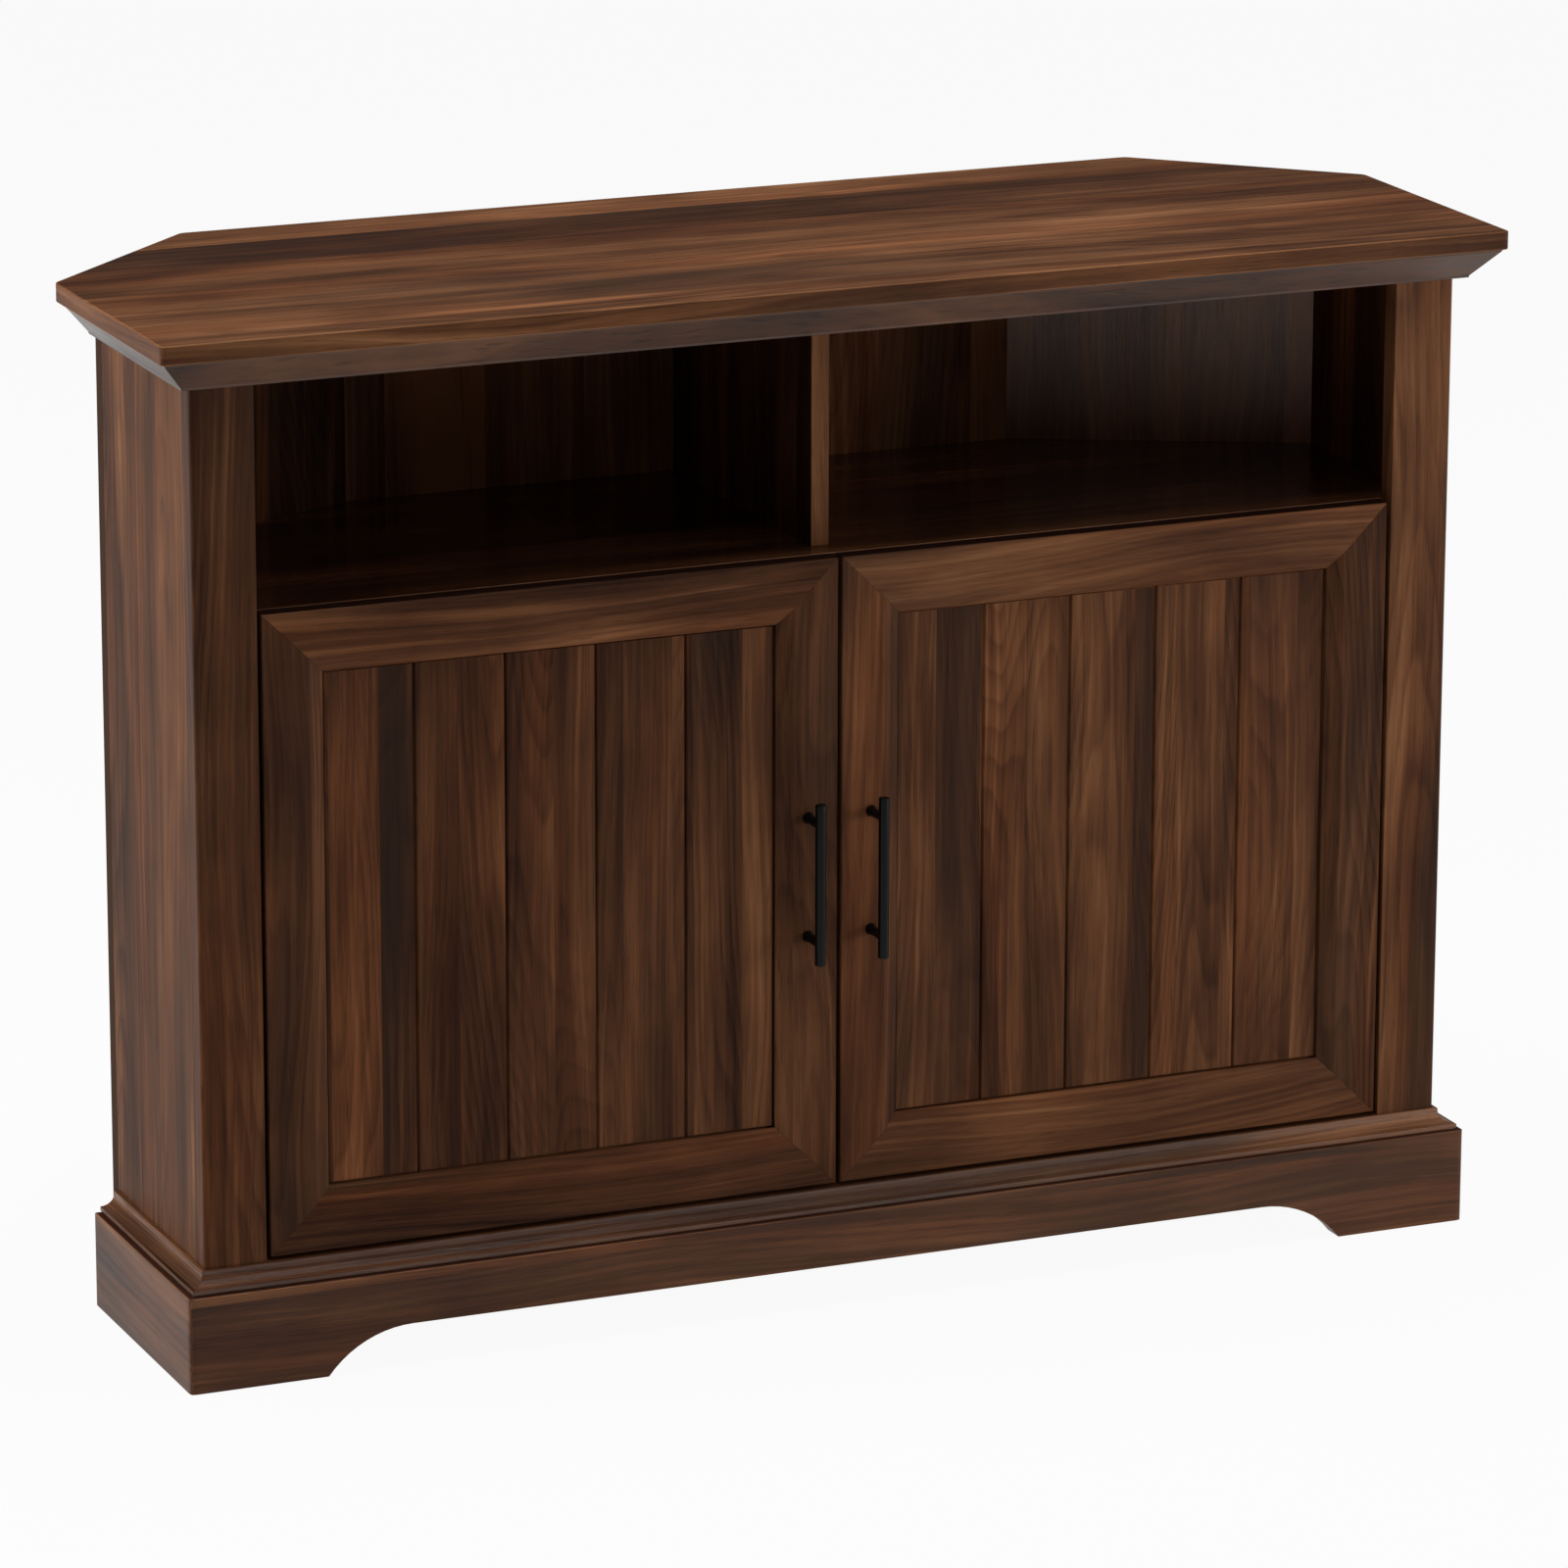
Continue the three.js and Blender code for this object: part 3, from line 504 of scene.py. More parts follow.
class LaminateNodes:
    """The nodes of one laminated board's material."""

    def __init__(self, board: WalnutBoard, name: str) -> None:
        """Starts the material.

        Args:
            board: The finish that it gives.
            name: The name of the piece that wears it.
        """
        self.board = board
        self.made, self.wiring = blank_material(name + " walnut")
        self.source = self.wiring.node("ShaderNodeTexCoord").outputs
        self.facing = self.wiring.node("ShaderNodeSeparateXYZ", {0: self.source["Normal"]}).outputs

    def finished(self) -> bpy.types.Material:
        """Adds the nodes.

        Returns:
            The finished material.
        """
        board, wiring = self.board, self.wiring
        figure = self._figure()
        bare = self._bare_faces()
        colour = wiring.mixed(bare, figure["Color"], self._bare_colour())
        low, high = board.roughness + SMOOTHER, board.roughness + ROUGHER
        gloss = wiring.spread(figure["Gloss"], *FIBRE_RANGE, low, high)
        rough = wiring.number("ADD", gloss, wiring.number("MULTIPLY", bare, BARE_ROUGHER))
        relief = {"Strength": GRAIN_BUMP, "Distance": GRAIN_DEPTH, "Height": figure["Height"]}
        wiring.surface(colour, rough, relief, board.specular)
        return self.made

    def _figure(self) -> Sockets:
        """Lays the walnut figure on the board.

        Returns:
            The figure's colour, gloss and height.
        """
        along, across = self._coordinates()
        inputs = {
            "Along": along,
            "Across": across,
            "Seed": self.board.seed,
            "Strip Width": self.board.strip_width,
            "Strip Contrast": self.board.strip_contrast,
            "Plank Width": self.board.plank_width,
            "Plank Start": self.board.plank_start,
            "Tone": self._tone(),
            "Arcs": self._arcs(),
        }
        return self.wiring.node("ShaderNodeGroup", inputs, node_tree=FIGURE.group()).outputs

    def _square_on(self, axis: int) -> Socket:
        """Marks with one the faces that look squarely along an axis, either way."""
        squareness = self.wiring.number("ABSOLUTE", self.facing[axis])
        return self.wiring.number("GREATER_THAN", squareness, SQUARE_ON)

    def _coordinates(self) -> tuple[Socket, Socket]:
        """Finds the place along and across the grain on every face, edge bands included.

        Returns:
            The place along the grain and the place across it, in metres.
        """
        wiring = self.wiring
        turned = wiring.node("ShaderNodeMapping", {"Vector": self.source["Object"]})
        turned.inputs["Rotation"].default_value[2] = math.radians(self.board.turn_deg)
        place = wiring.node("ShaderNodeSeparateXYZ", {0: turned.outputs[0]}).outputs
        first, second, third = self.board.grain.value
        end = self._square_on(first)
        usual = wiring.number("ADD", place[second], place[third])
        swapped = wiring.number("ADD", place[first], place[third])
        along = wiring.mixed_number(end, place[first], place[second])
        return along, wiring.mixed_number(end, usual, swapped)

    def _tone(self) -> Socket:
        """Finds the board's tone, with painted light on its front band and a painted highlight on
        its rounded arrises.

        Returns:
            How much lighter each point is than the figure's base shade.
        """
        wiring = self.wiring
        # Painted light on the faces looking to the front
        front = wiring.number("LESS_THAN", self.facing[1], -SQUARE_ON)
        slope = wiring.number("ABSOLUTE", self.facing[2])
        # Painted highlight on the sloping faces of the rounded arrises
        arris = wiring.number("COMPARE", slope, ARRIS_SLOPE, ARRIS_SLOPE_RANGE)
        tone = wiring.number("MULTIPLY_ADD", front, self.board.front_painted_light, self.board.tone)
        return wiring.number("MULTIPLY_ADD", arris, self.board.arris_highlight, tone)

    def _arcs(self) -> Socket | float:
        """Finds how far the rings arch, which is little on the edge bands of a lying board.

        Returns:
            The arching, from zero to one.
        """
        if self.board.grain is Grain.HEIGHT:
            return self.board.arcs
        band = self._square_on(self.board.grain.value[1])
        return self.wiring.mixed_number(band, self.board.arcs, EDGE_BAND_ARCS)

    def _bare_faces(self) -> Socket:
        """Marks the faces that take the plain colour.

        Returns:
            One on the bare faces and zero on the rest.
        """
        direction, least = self.board.plain.value
        inputs = {0: self.source["Normal"], 1: direction}
        facing = self.wiring.node("ShaderNodeVectorMath", inputs, operation="DOT_PRODUCT")
        return self.wiring.number("GREATER_THAN", facing.outputs["Value"], least)

    def _bare_colour(self) -> Socket:
        """Colours the bare faces as stained board with fine chips in it.

        Returns:
            Their colour.
        """
        inputs = {"Vector": self.source["Object"], "Scale": CHIP_SCALE, "Detail": CHIP_DETAIL}
        chips = self.wiring.node("ShaderNodeTexNoise", inputs).outputs[0]
        stain = self.board.plain_colour
        shadow = [int(value * CHIP_SHADE) for value in stain]
        return self.wiring.ramp(chips, CHIP_STOPS, (shadow, stain))


@dataclass(frozen=True)
class HardFinish:
    """A coated, plated or moulded finish with a fine surface texture."""

    title: str
    slot: str
    colour: Rgb
    second: Rgb
    roughness: float
    spread: float
    grain_scale: Triple
    bump: float
    metallic: float = 0.0
    specular: float = 0.5
    detail: float = 3.0
    stops: tuple[float, float] = (0.3, 0.7)
    window: tuple[float, float] = (0.25, 0.75)
    relief: float = 0.0001

    def material(self, name: str) -> bpy.types.Material:
        """Builds the finish for a piece.

        Args:
            name: The name of the piece that wears it.

        Returns:
            The new material.
        """
        made, wiring = blank_material(name + " " + self.title)
        source = wiring.node("ShaderNodeTexCoord").outputs
        stretched = wiring.node("ShaderNodeMapping", {"Vector": source["Object"]})
        stretched.inputs["Scale"].default_value = self.grain_scale
        inputs = {"Vector": stretched.outputs[0], "Scale": 1.0, "Detail": self.detail}
        texture = wiring.node("ShaderNodeTexNoise", inputs).outputs[0]
        colour = wiring.ramp(texture, self.stops, (self.second, self.colour))
        low, high = self.roughness - self.spread, self.roughness + self.spread
        rough = wiring.spread(texture, *self.window, low, high)
        relief = {"Strength": self.bump, "Distance": self.relief, "Height": texture}
        wiring.surface(colour, rough, relief, self.specular, self.metallic)
        return made


BLACK_COAT = HardFinish(
    "black coat",
    "black_metal",
    colour=(13, 13, 13),
    second=(8, 8, 8),
    roughness=0.27,
    spread=0.05,
    grain_scale=(2600.0, 2600.0, 2600.0),
    bump=0.2,
    specular=0.12,
)
NICKEL = HardFinish(
    "nickel plate",
    "nickel",
    colour=(196, 193, 186),
    second=(171, 168, 161),
    roughness=0.3,
    spread=0.07,
    grain_scale=(300.0, 300.0, 1800.0),
    bump=0.15,
    metallic=1.0,
)
CATCH_PLASTIC = HardFinish(
    "moulded plastic",
    "catch_plastic",
    colour=(52, 42, 37),
    second=(40, 32, 28),
    roughness=0.5,
    spread=0.06,
    grain_scale=(1500.0, 1500.0, 1500.0),
    bump=0.3,
)
BUMPER = HardFinish(
    "clear bumper",
    "catch_plastic",
    colour=(186, 182, 172),
    second=(160, 156, 146),
    roughness=0.35,
    spread=0.05,
    grain_scale=(900.0, 900.0, 900.0),
    bump=0.1,
)
Finish = WalnutBoard | HardFinish


@dataclass
class Workshop:
    """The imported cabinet, and the ways a piece of it is dressed or replaced."""

    nodes: dict[str, Piece]
    bodies: dict[str, list[str]]
    arris: float = 0.0006

    def body_of(self, node: str) -> str:
        """Names the body that a node belongs to."""
        return next(body for body, members in self.bodies.items() if node in members)

    def dress(self, node: str, finish: Finish) -> None:
        """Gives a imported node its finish.

        Args:
            node: The node's name.
            finish: The finish that it wears.
        """
        data = self.nodes[node].data
        data.materials.clear()
        data.materials.append(finish.material(node))
        LOG.info("%s wears its own finish", node)

    def ease(self, node: str, finish: Finish, width: float | None = None) -> Piece:
        """Replaces a node with a copy whose sharp edges are eased.

        Args:
            node: The node's name.
            finish: The finish that the copy wears.
            width: How wide the eased edge is in metres, where it isn't the usual arris.

        Returns:
            The piece that stands for the node.
        """
        name = node + "_eased"
        work = bmesh.new()
        work.from_mesh(self.nodes[node].data)
        bmesh.ops.remove_doubles(work, verts=work.verts, dist=MERGE_DISTANCE)
        flat = math.radians(FLAT_ANGLE_DEG)
        bmesh.ops.dissolve_limit(work, angle_limit=flat, verts=work.verts, edges=work.edges)
        sharp = [edge for edge in work.edges if self._stands_free(edge)]
        shape = {"offset": width or self.arris, "segments": 2, "profile": 0.5}
        bmesh.ops.bevel(work, geom=sharp, affect="EDGES", clamp_overlap=True, **shape)
        return self.install(closed(work, name), name, finish, self.body_of(node), [node])

    def _stands_free(self, edge: bmesh.types.BMEdge) -> bool:
        """Tells whether an edge is sharp and no part of a mitre, which closes tight.

        Args:
            edge: The edge to judge.

        Returns:
            Whether it is to be eased.
        """
        if len(edge.link_faces) != 2 or edge.calc_face_angle() < math.radians(SHARP_ANGLE_DEG):
            return False
        return not any(self._is_mitre(face.normal) for face in edge.link_faces)

    def _is_mitre(self, normal: Vector) -> bool:
        """Tells whether a face is cut at exactly 45 degrees to two axes."""
        return sum(abs(abs(value) - math.sqrt(0.5)) < MITRE_TOLERANCE for value in normal) == 2

    def install(
        self, mesh: bpy.types.Mesh, name: str, finish: Finish, body: str, nodes: Sequence[str] = ()
    ) -> Piece:
        """Puts a finished mesh into the scene as a piece of a body.

        Args:
            mesh: The piece's mesh, in place, with or without its material.
            name: The piece's name.
            finish: The finish that it wears.
            body: The body that it moves with.
            nodes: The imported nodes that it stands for.

        Returns:
            The new piece.
        """
        piece = bpy.data.objects.new(name, mesh)
        bpy.context.scene.collection.objects.link(piece)
        if not mesh.materials:
            mesh.materials.append(finish.material(name))
        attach(piece, body)
        if nodes:
            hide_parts(*nodes)
        LOG.info("%s made with %d faces", name, len(mesh.polygons))
        return piece


def closed(work: bmesh.types.BMesh, name: str) -> bpy.types.Mesh:
    """Turns working geometry into a mesh and frees it.

    Args:
        work: The working geometry.
        name: The mesh's name.

    Returns:
        The new mesh.
    """
    mesh = bpy.data.meshes.new(name)
    work.to_mesh(mesh)
    work.free()
    return mesh


def back_middle(node: str) -> Triple:
    """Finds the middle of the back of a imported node's box."""
    low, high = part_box(node)
    return (low.x + high.x) / 2, high.y, (low.z + high.z) / 2


def circle(radius: float, height: float, steps: int) -> list[Triple]:
    """Sets points round Z, or the one point on it where the radius is zero."""
    angles = [2 * math.pi * i / steps for i in range(steps if radius else 1)]
    return [(radius * math.cos(a), radius * math.sin(a), height) for a in angles]


def lathe(profile: Profile, steps: int) -> bmesh.types.BMesh:
    """Turns a closed-ended profile round Z.

    Args:
        profile: Points of radius and height, with a radius of zero at both ends.
        steps: How many faces go round.

    Returns:
        The turned shape.
    """
    work = bmesh.new()
    rows = [[work.verts.new(point) for point in circle(r, z, steps)] for r, z in profile]
    for low, high in zip(rows, rows[1:]):
        for i in range(steps):
            j = (i + 1) % steps
            turns = ((low, i), (low, j), (high, j), (high, i))
            unique = list(dict.fromkeys(row[turn % len(row)] for row, turn in turns))
            if len(unique) > 2:
                work.faces.new(unique)
    bmesh.ops.recalc_face_normals(work, faces=work.faces)
    return work


def rounded(half: float, radius: float, edge: float, steps: int = 4) -> Profile:
    """Draws the profile of a turned bar with rounded ends, half above zero and half below.

    Args:
        half: Half the bar's length.
        radius: The bar's radius.
        edge: The radius of the rounding at each end.
        steps: How many steps the rounding has.

    Returns:
        Points of radius and height, from the lower end to the upper.
    """
    turns = [math.pi / 2 * i / steps for i in range(steps + 1)]
    arc = [(edge * math.sin(turn), edge - edge * math.cos(turn)) for turn in turns]
    lower = [(radius - edge + out, up - half) for out, up in arc]
    upper = [(radius - edge + out, half - up) for out, up in reversed(arc)]
    return [(0.0, -half), *lower, *upper, (0.0, half)]


def gathered(shapes: Iterable[tuple[bmesh.types.BMesh, Matrix]], name: str) -> bpy.types.Mesh:
    """Joins shapes into one mesh, each moved to its place, with its flat edges shaded smoothly.

    Args:
        shapes: Each shape and its place.
        name: The mesh's name.

    Returns:
        The new mesh.
    """
    whole = bmesh.new()
    for shape, place in shapes:
        shape.transform(place)
        part = closed(shape, "part")
        whole.from_mesh(part)
        bpy.data.meshes.remove(part)
    mesh = closed(whole, name)
    mesh.shade_smooth()
    mesh.set_sharp_from_angle(angle=math.radians(SMOOTH_ANGLE_DEG))
    return mesh


class GeometryTree:
    """A Geometry Nodes tree with named inputs, run once on an object of its own."""

    def __init__(self, name: str, sizes: Sequence[tuple[str, str]]) -> None:
        """Starts the tree.

        Args:
            name: The tree's name.
            sizes: Each input's title and the last word of its socket type.
        """
        self.tree = bpy.data.node_groups.new(name, "GeometryNodeTree")
        self.keys = {}
        add = self.tree.interface.new_socket
        for title, kind in (*sizes, ("Material", "Material")):
            made = add(name=title, in_out="INPUT", socket_type="NodeSocket" + kind)
            self.keys[title] = made.identifier
        add(name="Geometry", in_out="OUTPUT", socket_type="NodeSocketGeometry")
        self.wiring = Wiring(self.tree)
        self.given = self.wiring.node("NodeGroupInput").outputs

    def row(self, shape: Socket, count: object, first: object, step: object) -> bpy.types.Node:
        """Repeats a shape along a straight line.

        Args:
            shape: What is repeated.
            count: How many there are.
            first: The place of the first.
            step: The way from each to the next.

        Returns:
            The node that sets them out, for a turn or a scale to be added.
        """
        inputs = {"Count": count, "Start Location": first, "Offset": step}
        points = self.wiring.node("GeometryNodeMeshLine", inputs, mode="OFFSET")
        inputs = {"Points": points.outputs[0], "Instance": shape}
        return self.wiring.node("GeometryNodeInstanceOnPoints", inputs)

    def real(self, shape: Socket) -> Socket:
        """Realizes the instances in a shape."""
        return self.wiring.node("GeometryNodeRealizeInstances", {0: shape}).outputs[0]

    def end(self, shape: Socket) -> None:
        """Realizes the shape, sets its material and ends the tree.

        Args:
            shape: The finished shape.
        """
        inputs = {"Geometry": self.real(shape), "Material": self.given["Material"]}
        painted = self.wiring.node("GeometryNodeSetMaterial", inputs)
        self.wiring.node("NodeGroupOutput", {0: painted.outputs[0]})

    def grown(self, values: dict[str, object]) -> bpy.types.Mesh:
        """Runs the tree with these values.

        Args:
            values: What goes into each input, by title.

        Returns:
            The result as a plain mesh with the one material.
        """
        carrier = bpy.data.objects.new(self.tree.name, bpy.data.meshes.new(self.tree.name))
        bpy.context.scene.collection.objects.link(carrier)
        modifier = carrier.modifiers.new(self.tree.name, "NODES")
        modifier.node_group = self.tree
        for title, value in values.items():
            modifier[self.keys[title]] = value
        ready = carrier.evaluated_get(bpy.context.evaluated_depsgraph_get())
        mesh = bpy.data.meshes.new_from_object(ready)
        mesh.materials.clear()
        mesh.materials.append(values["Material"])
        carrier.modifiers.remove(modifier)
        bpy.data.objects.remove(carrier)
        return mesh


@dataclass
class PlankPanel:
    """A door's recessed panel, cut from one board with a V groove round it and between planks."""

    shop: Workshop
    planks: int = 5
    hidden_edge: float = 0.0067
    groove_width: float = 0.003
    groove_depth: float = 0.0022
    strip_width: float = 0.041
    strip_contrast: float = 0.2
    tree: GeometryTree = field(init=False)

    def __post_init__(self) -> None:
        """Builds the tree that cuts the grooves."""
        sizes = [("Size", "Vector"), ("Middle", "Vector")]
        kinds = {"Count": "Int", "Start": "Vector", "Step": "Vector", "Squash": "Vector"}
        for title in ("Groove", "Cross Groove"):
            sizes += [(f"{title} {measure}", kind) for measure, kind in kinds.items()]
        self.tree = GeometryTree("grooved panel", sizes)
        wiring, given = self.tree.wiring, self.tree.given
        board = wiring.node("GeometryNodeMeshCube", {"Size": given["Size"]}).outputs[0]
        inputs = {"Geometry": board, "Translation": given["Middle"]}
        shape = wiring.node("GeometryNodeTransform", inputs).outputs[0]
        inputs = {"Vertices": 4, "Radius": 1.0, "Depth": 1.0}
        cutter = wiring.node("GeometryNodeMeshCylinder", inputs)
        for title, turn in (("Groove", 0.0), ("Cross Groove", math.pi / 2)):
            count, first, step, squash = (given[f"{title} {measure}"] for measure in kinds)
            inputs = {"Geometry": cutter.outputs[0], "Rotation": (0.0, turn, 0.0), "Scale": squash}
            squashed = wiring.node("GeometryNodeTransform", inputs).outputs[0]
            cutters = self.tree.real(self.tree.row(squashed, count, first, step).outputs[0])
            inputs = {"Mesh 1": shape, "Mesh 2": cutters}
            shape = wiring.node(
                "GeometryNodeMeshBoolean", inputs, operation="DIFFERENCE", solver="EXACT"
            ).outputs[0]
        self.tree.end(shape)

    def build(self, side: str, seed: float, tone: float) -> None:
        """Makes one door's panel.

        Args:
            side: The door's side, left or right.
            seed: Where its figure starts.
            tone: How much lighter it is than the rest.
        """
        node, name = side + "_door_panel", side + "_door_planks"
        low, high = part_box(node)
        size, middle = high - low, (low + high) / 2
        pitch = (size.x - 2 * self.hidden_edge) / self.planks
        start = low.x + self.hidden_edge
        finish = WalnutBoard(
            Grain.HEIGHT,
            seed,
            tone,
            strip_width=self.strip_width,
            strip_contrast=self.strip_contrast,
            plank_width=pitch,
            plank_start=start + low.y,
        )
        values = {
            "Size": size,
            "Middle": middle,
            "Groove Count": self.planks + 1,
            "Groove Start": Vector((start, low.y, middle.z)),
            "Groove Step": Vector((pitch, 0, 0)),
            "Groove Squash": Vector((self.groove_width / 2, self.groove_depth, 2 * size.z)),
            "Cross Groove Count": 2,
            "Cross Groove Start": Vector((middle.x, low.y, low.z + self.hidden_edge)),
            "Cross Groove Step": Vector((0, 0, size.z - 2 * self.hidden_edge)),
            "Cross Groove Squash": Vector((self.groove_width / 2, self.groove_depth, 2 * size.x)),
            "Material": finish.material(name),
        }
        self.shop.install(self.tree.grown(values), name, finish, side + "_door", [node])


@dataclass
class ScrewSet:
    """Countersunk screws with cross recesses, set out in straight rows."""

    shop: Workshop
    head_radius: float = 0.0032
    crown_share: float = 0.82
    head_height: float = 0.0007
    cross_length: float = 0.0021
    cross_width: float = 0.00065
    cross_depth: float = 0.0005
    cross_foot_share: float = 0.7
    steps: int = 20
    tree: GeometryTree = field(init=False)
    pattern: Piece = field(init=False)

    def __post_init__(self) -> None:
        """Builds the screw head and the tree that repeats it."""
        sizes = [("Head", "Object"), ("First", "Vector"), ("Step", "Vector"), ("Count", "Int")]
        self.tree = GeometryTree("screw row", [*sizes, ("Turn", "Vector"), ("Scale", "Float")])
        wiring, given = self.tree.wiring, self.tree.given
        head = wiring.node("GeometryNodeObjectInfo", {"Object": given["Head"]}).outputs["Geometry"]
        placed = self.tree.row(head, given["Count"], given["First"], given["Step"])
        wiring.feed(placed.inputs["Scale"], given["Scale"])
        wiring.feed(placed.inputs["Rotation"], given["Turn"])
        self.tree.end(placed.outputs[0])
        self.pattern = bpy.data.objects.new("screw pattern", self._head())

    def _head(self) -> bpy.types.Mesh:
        """Models one head, which faces +Z with its seat at zero.

        Returns:
            The head's mesh.
        """
        half, arm, top = self.cross_width / 2, self.cross_length, self.head_height
        share, sunk = self.cross_foot_share, self.head_height - self.cross_depth
        turns = [Matrix.Rotation(math.pi / 2 * i, 2) for i in range(4)]
        corners = ((half, half), (half, arm), (-half, arm))
        cross = [turn @ Vector(corner) for turn in turns for corner in corners]
        crown = self.crown_share * self.head_radius
        work = bmesh.new()
        foot = [work.verts.new(point) for point in circle(self.head_radius, 0.0, self.steps)]
        rim = [work.verts.new(point) for point in circle(crown, top, self.steps)]
        mouth = [work.verts.new((x, y, top)) for x, y in cross]
        floor = [work.verts.new((share * x, share * y, sunk)) for x, y in cross]
        for lower, upper in ((foot, rim), (floor, mouth)):
            for i, corner in enumerate(lower):
                j = (i + 1) % len(lower)
                work.faces.new((corner, lower[j], upper[j], upper[i]))
        pairs = [(ring[i - 1], ring[i]) for ring in (rim, mouth) for i in range(len(ring))]
        edges = [work.edges.get(pair) for pair in pairs]
        bmesh.ops.triangle_fill(work, use_beauty=True, use_dissolve=False, edges=edges)
        work.faces.new(floor)
        work.faces.new(list(reversed(foot)))
        bmesh.ops.recalc_face_normals(work, faces=work.faces)
        return closed(work, "screw head")

    def build(self, name: str, body: str, rows: Sequence[ScrewRow]) -> None:
        """Drives rows of screws into one body.

        Args:
            name: The piece's name.
            body: The body that they move with.
            rows: Each row's first place, step, count, turn in degrees and size.
        """
        whole = bmesh.new()
        material = NICKEL.material(name)
        for first, step, count, turn, scale in rows:
            values = {
                "Head": self.pattern,
                "First": Vector(first),
                "Step": Vector(step),
                "Count": count,
                "Turn": Vector([math.radians(angle) for angle in turn]),
                "Scale": scale,
                "Material": material,
            }
            mesh = self.tree.grown(values)
            whole.from_mesh(mesh)
            bpy.data.meshes.remove(mesh)
        joined = closed(whole, name)
        joined.materials.append(material)
        self.shop.install(joined, name, NICKEL, body)


@dataclass
class TopAndCrown:
    """The six-sided top and the bevelled crown moulding under it."""

    shop: Workshop

    def build(self) -> None:
        """Dresses the top, the crown and the rail behind it."""
        strips = {"strip_width": 0.078, "strip_contrast": 0.16}
        # The top's rounded arrises get a painted highlight
        top = WalnutBoard(Grain.WIDTH, 4.2, arcs=0.5, roughness=0.4, arris_highlight=0.3, **strips)
        self.shop.dress("top_panel", top)
        for side, grain, seed, specular in (
            ("front", Grain.WIDTH, 1.9, 0.45),
            ("left", Grain.DEPTH, 7.1, 1.0),
            ("right", Grain.DEPTH, 8.3, 1.0),
        ):
            finish = WalnutBoard(
                grain, seed, -0.3, arcs=0.2, strip_width=0.4, roughness=0.38, specular=specular
            )
            self.shop.ease("crown_" + side, finish)
        self.shop.ease("top_rail", WalnutBoard(Grain.WIDTH, 6.4, -0.02))


@dataclass
class Carcass:
    """The posts, sides, boards and backs of the cabinet."""

    shop: Workshop
    back_turn_deg: float = 26.1
    raw_back: Rgb = (76, 54, 41)

    def build(self) -> None:
        """Dresses every board of the carcass."""
        self._posts_and_sides()
        self._boards()
        self._backs()

    def _raw(self) -> dict[str, object]:
        """Gives what the boards without laminate on their back share."""
        bare = {"plain": PlainFaces.ALL_BUT_FRONT, "plain_colour": self.raw_back}
        return {**bare, "slot": "dark_walnut"}

    def _posts_and_sides(self) -> None:
        """Dresses the two posts and the two side panels."""
        # The left post is toned darker than the right as painted shade, for the front growing
        # lighter to the right
        for side, seed, tone in (("left", 12.6, -0.1), ("right", 15.2, -0.02)):
            post = WalnutBoard(Grain.HEIGHT, seed, tone, arcs=0.6, strip_width=0.6)
            self.shop.ease(side + "_post", post)
            panel = WalnutBoard(
                Grain.HEIGHT, seed + 3.3, 0.02, strip_width=0.068, roughness=0.4, specular=0.03
            )
            self.shop.dress(side + "_side_panel", panel)
            rail = WalnutBoard(Grain.HEIGHT, seed + 5.1, -0.06, slot="dark_walnut")
            self.shop.ease(side + "_hinge_rail", rail)

    def _boards(self) -> None:
        """Dresses the shelves, the floor and the upright boards."""
        bare = {"plain": PlainFaces.UNDERSIDE, "slot": "dark_walnut"}
        floor = WalnutBoard(Grain.WIDTH, 21.4, -0.05, **bare)
        self.shop.ease("bottom_panel", floor)
        # The shelf's rounded front arris gets a painted highlight
        shelf = WalnutBoard(
            Grain.WIDTH, 23.8, -0.1, strip_width=0.07, roughness=0.16, specular=0.9, arris_highlight=0.45
        )
        self.shop.ease("middle_shelf", shelf)
        # The divider's front faces get painted light, against its darker sides
        divider = WalnutBoard(Grain.HEIGHT, 25.5, -0.2, arcs=0.2, strip_width=0.07, front_painted_light=0.58)
        self.shop.ease("niche_divider", divider)
        partition = WalnutBoard(Grain.HEIGHT, 27.9, -0.04, slot="dark_walnut")
        self.shop.dress("cupboard_partition", partition)
        base = WalnutBoard(Grain.WIDTH, 29.1, -0.08, **self._raw())
        self.shop.ease("rear_base_board", base)

    def _backs(self) -> None:
        """Dresses the three backs, laminated on the inside only."""
        # The panels' tones differ as painted light and shade: the right back lighter and the left
        # back darker, for how light falls into the niches
        for place, seed, tone, turn, specular in (
            ("center", 31.3, 0.22, 0.0, 0.03),
            ("left", 33.7, -0.25, -self.back_turn_deg, 0.03),
            ("right", 36.2, 0.36, self.back_turn_deg, 0.6),
        ):
            finish = WalnutBoard(
                Grain.HEIGHT, seed, tone, turn_deg=turn, specular=specular, **self._raw()
            )
            self.shop.dress("back_panel_" + place, finish)


@dataclass
class Base:
    """The arched plinth and the coved moulding on it."""

    shop: Workshop
    moulding_arris: float = 0.0003
    # The plain darker colour of the plinth's upward ledge
    dark_ledge_colour: Rgb = (74, 38, 25)

    def build(self) -> None:
        """Dresses the plinth boards and the base mouldings."""
        # The plinth's rounded top arrises get a painted highlight
        ledge = {"plain": PlainFaces.TOP, "plain_colour": self.dark_ledge_colour, "arris_highlight": 0.25}
        for side, grain, seed, specular in (
            ("front", Grain.WIDTH, 41.2, 0.45),
            ("left", Grain.DEPTH, 43.9, 0.2),
            ("right", Grain.DEPTH, 46.3, 0.2),
        ):
            board = WalnutBoard(grain, seed, 0.22, strip_width=0.3, specular=0.18, **ledge)
            self.shop.ease("plinth_" + side, board)
            gloss = {"roughness": 0.26, "specular": specular}
            moulding = WalnutBoard(grain, seed + 1.1, 0.17, arcs=0.2, strip_width=0.3, **gloss)
            self.shop.ease("base_moulding_" + side, moulding, self.moulding_arris)


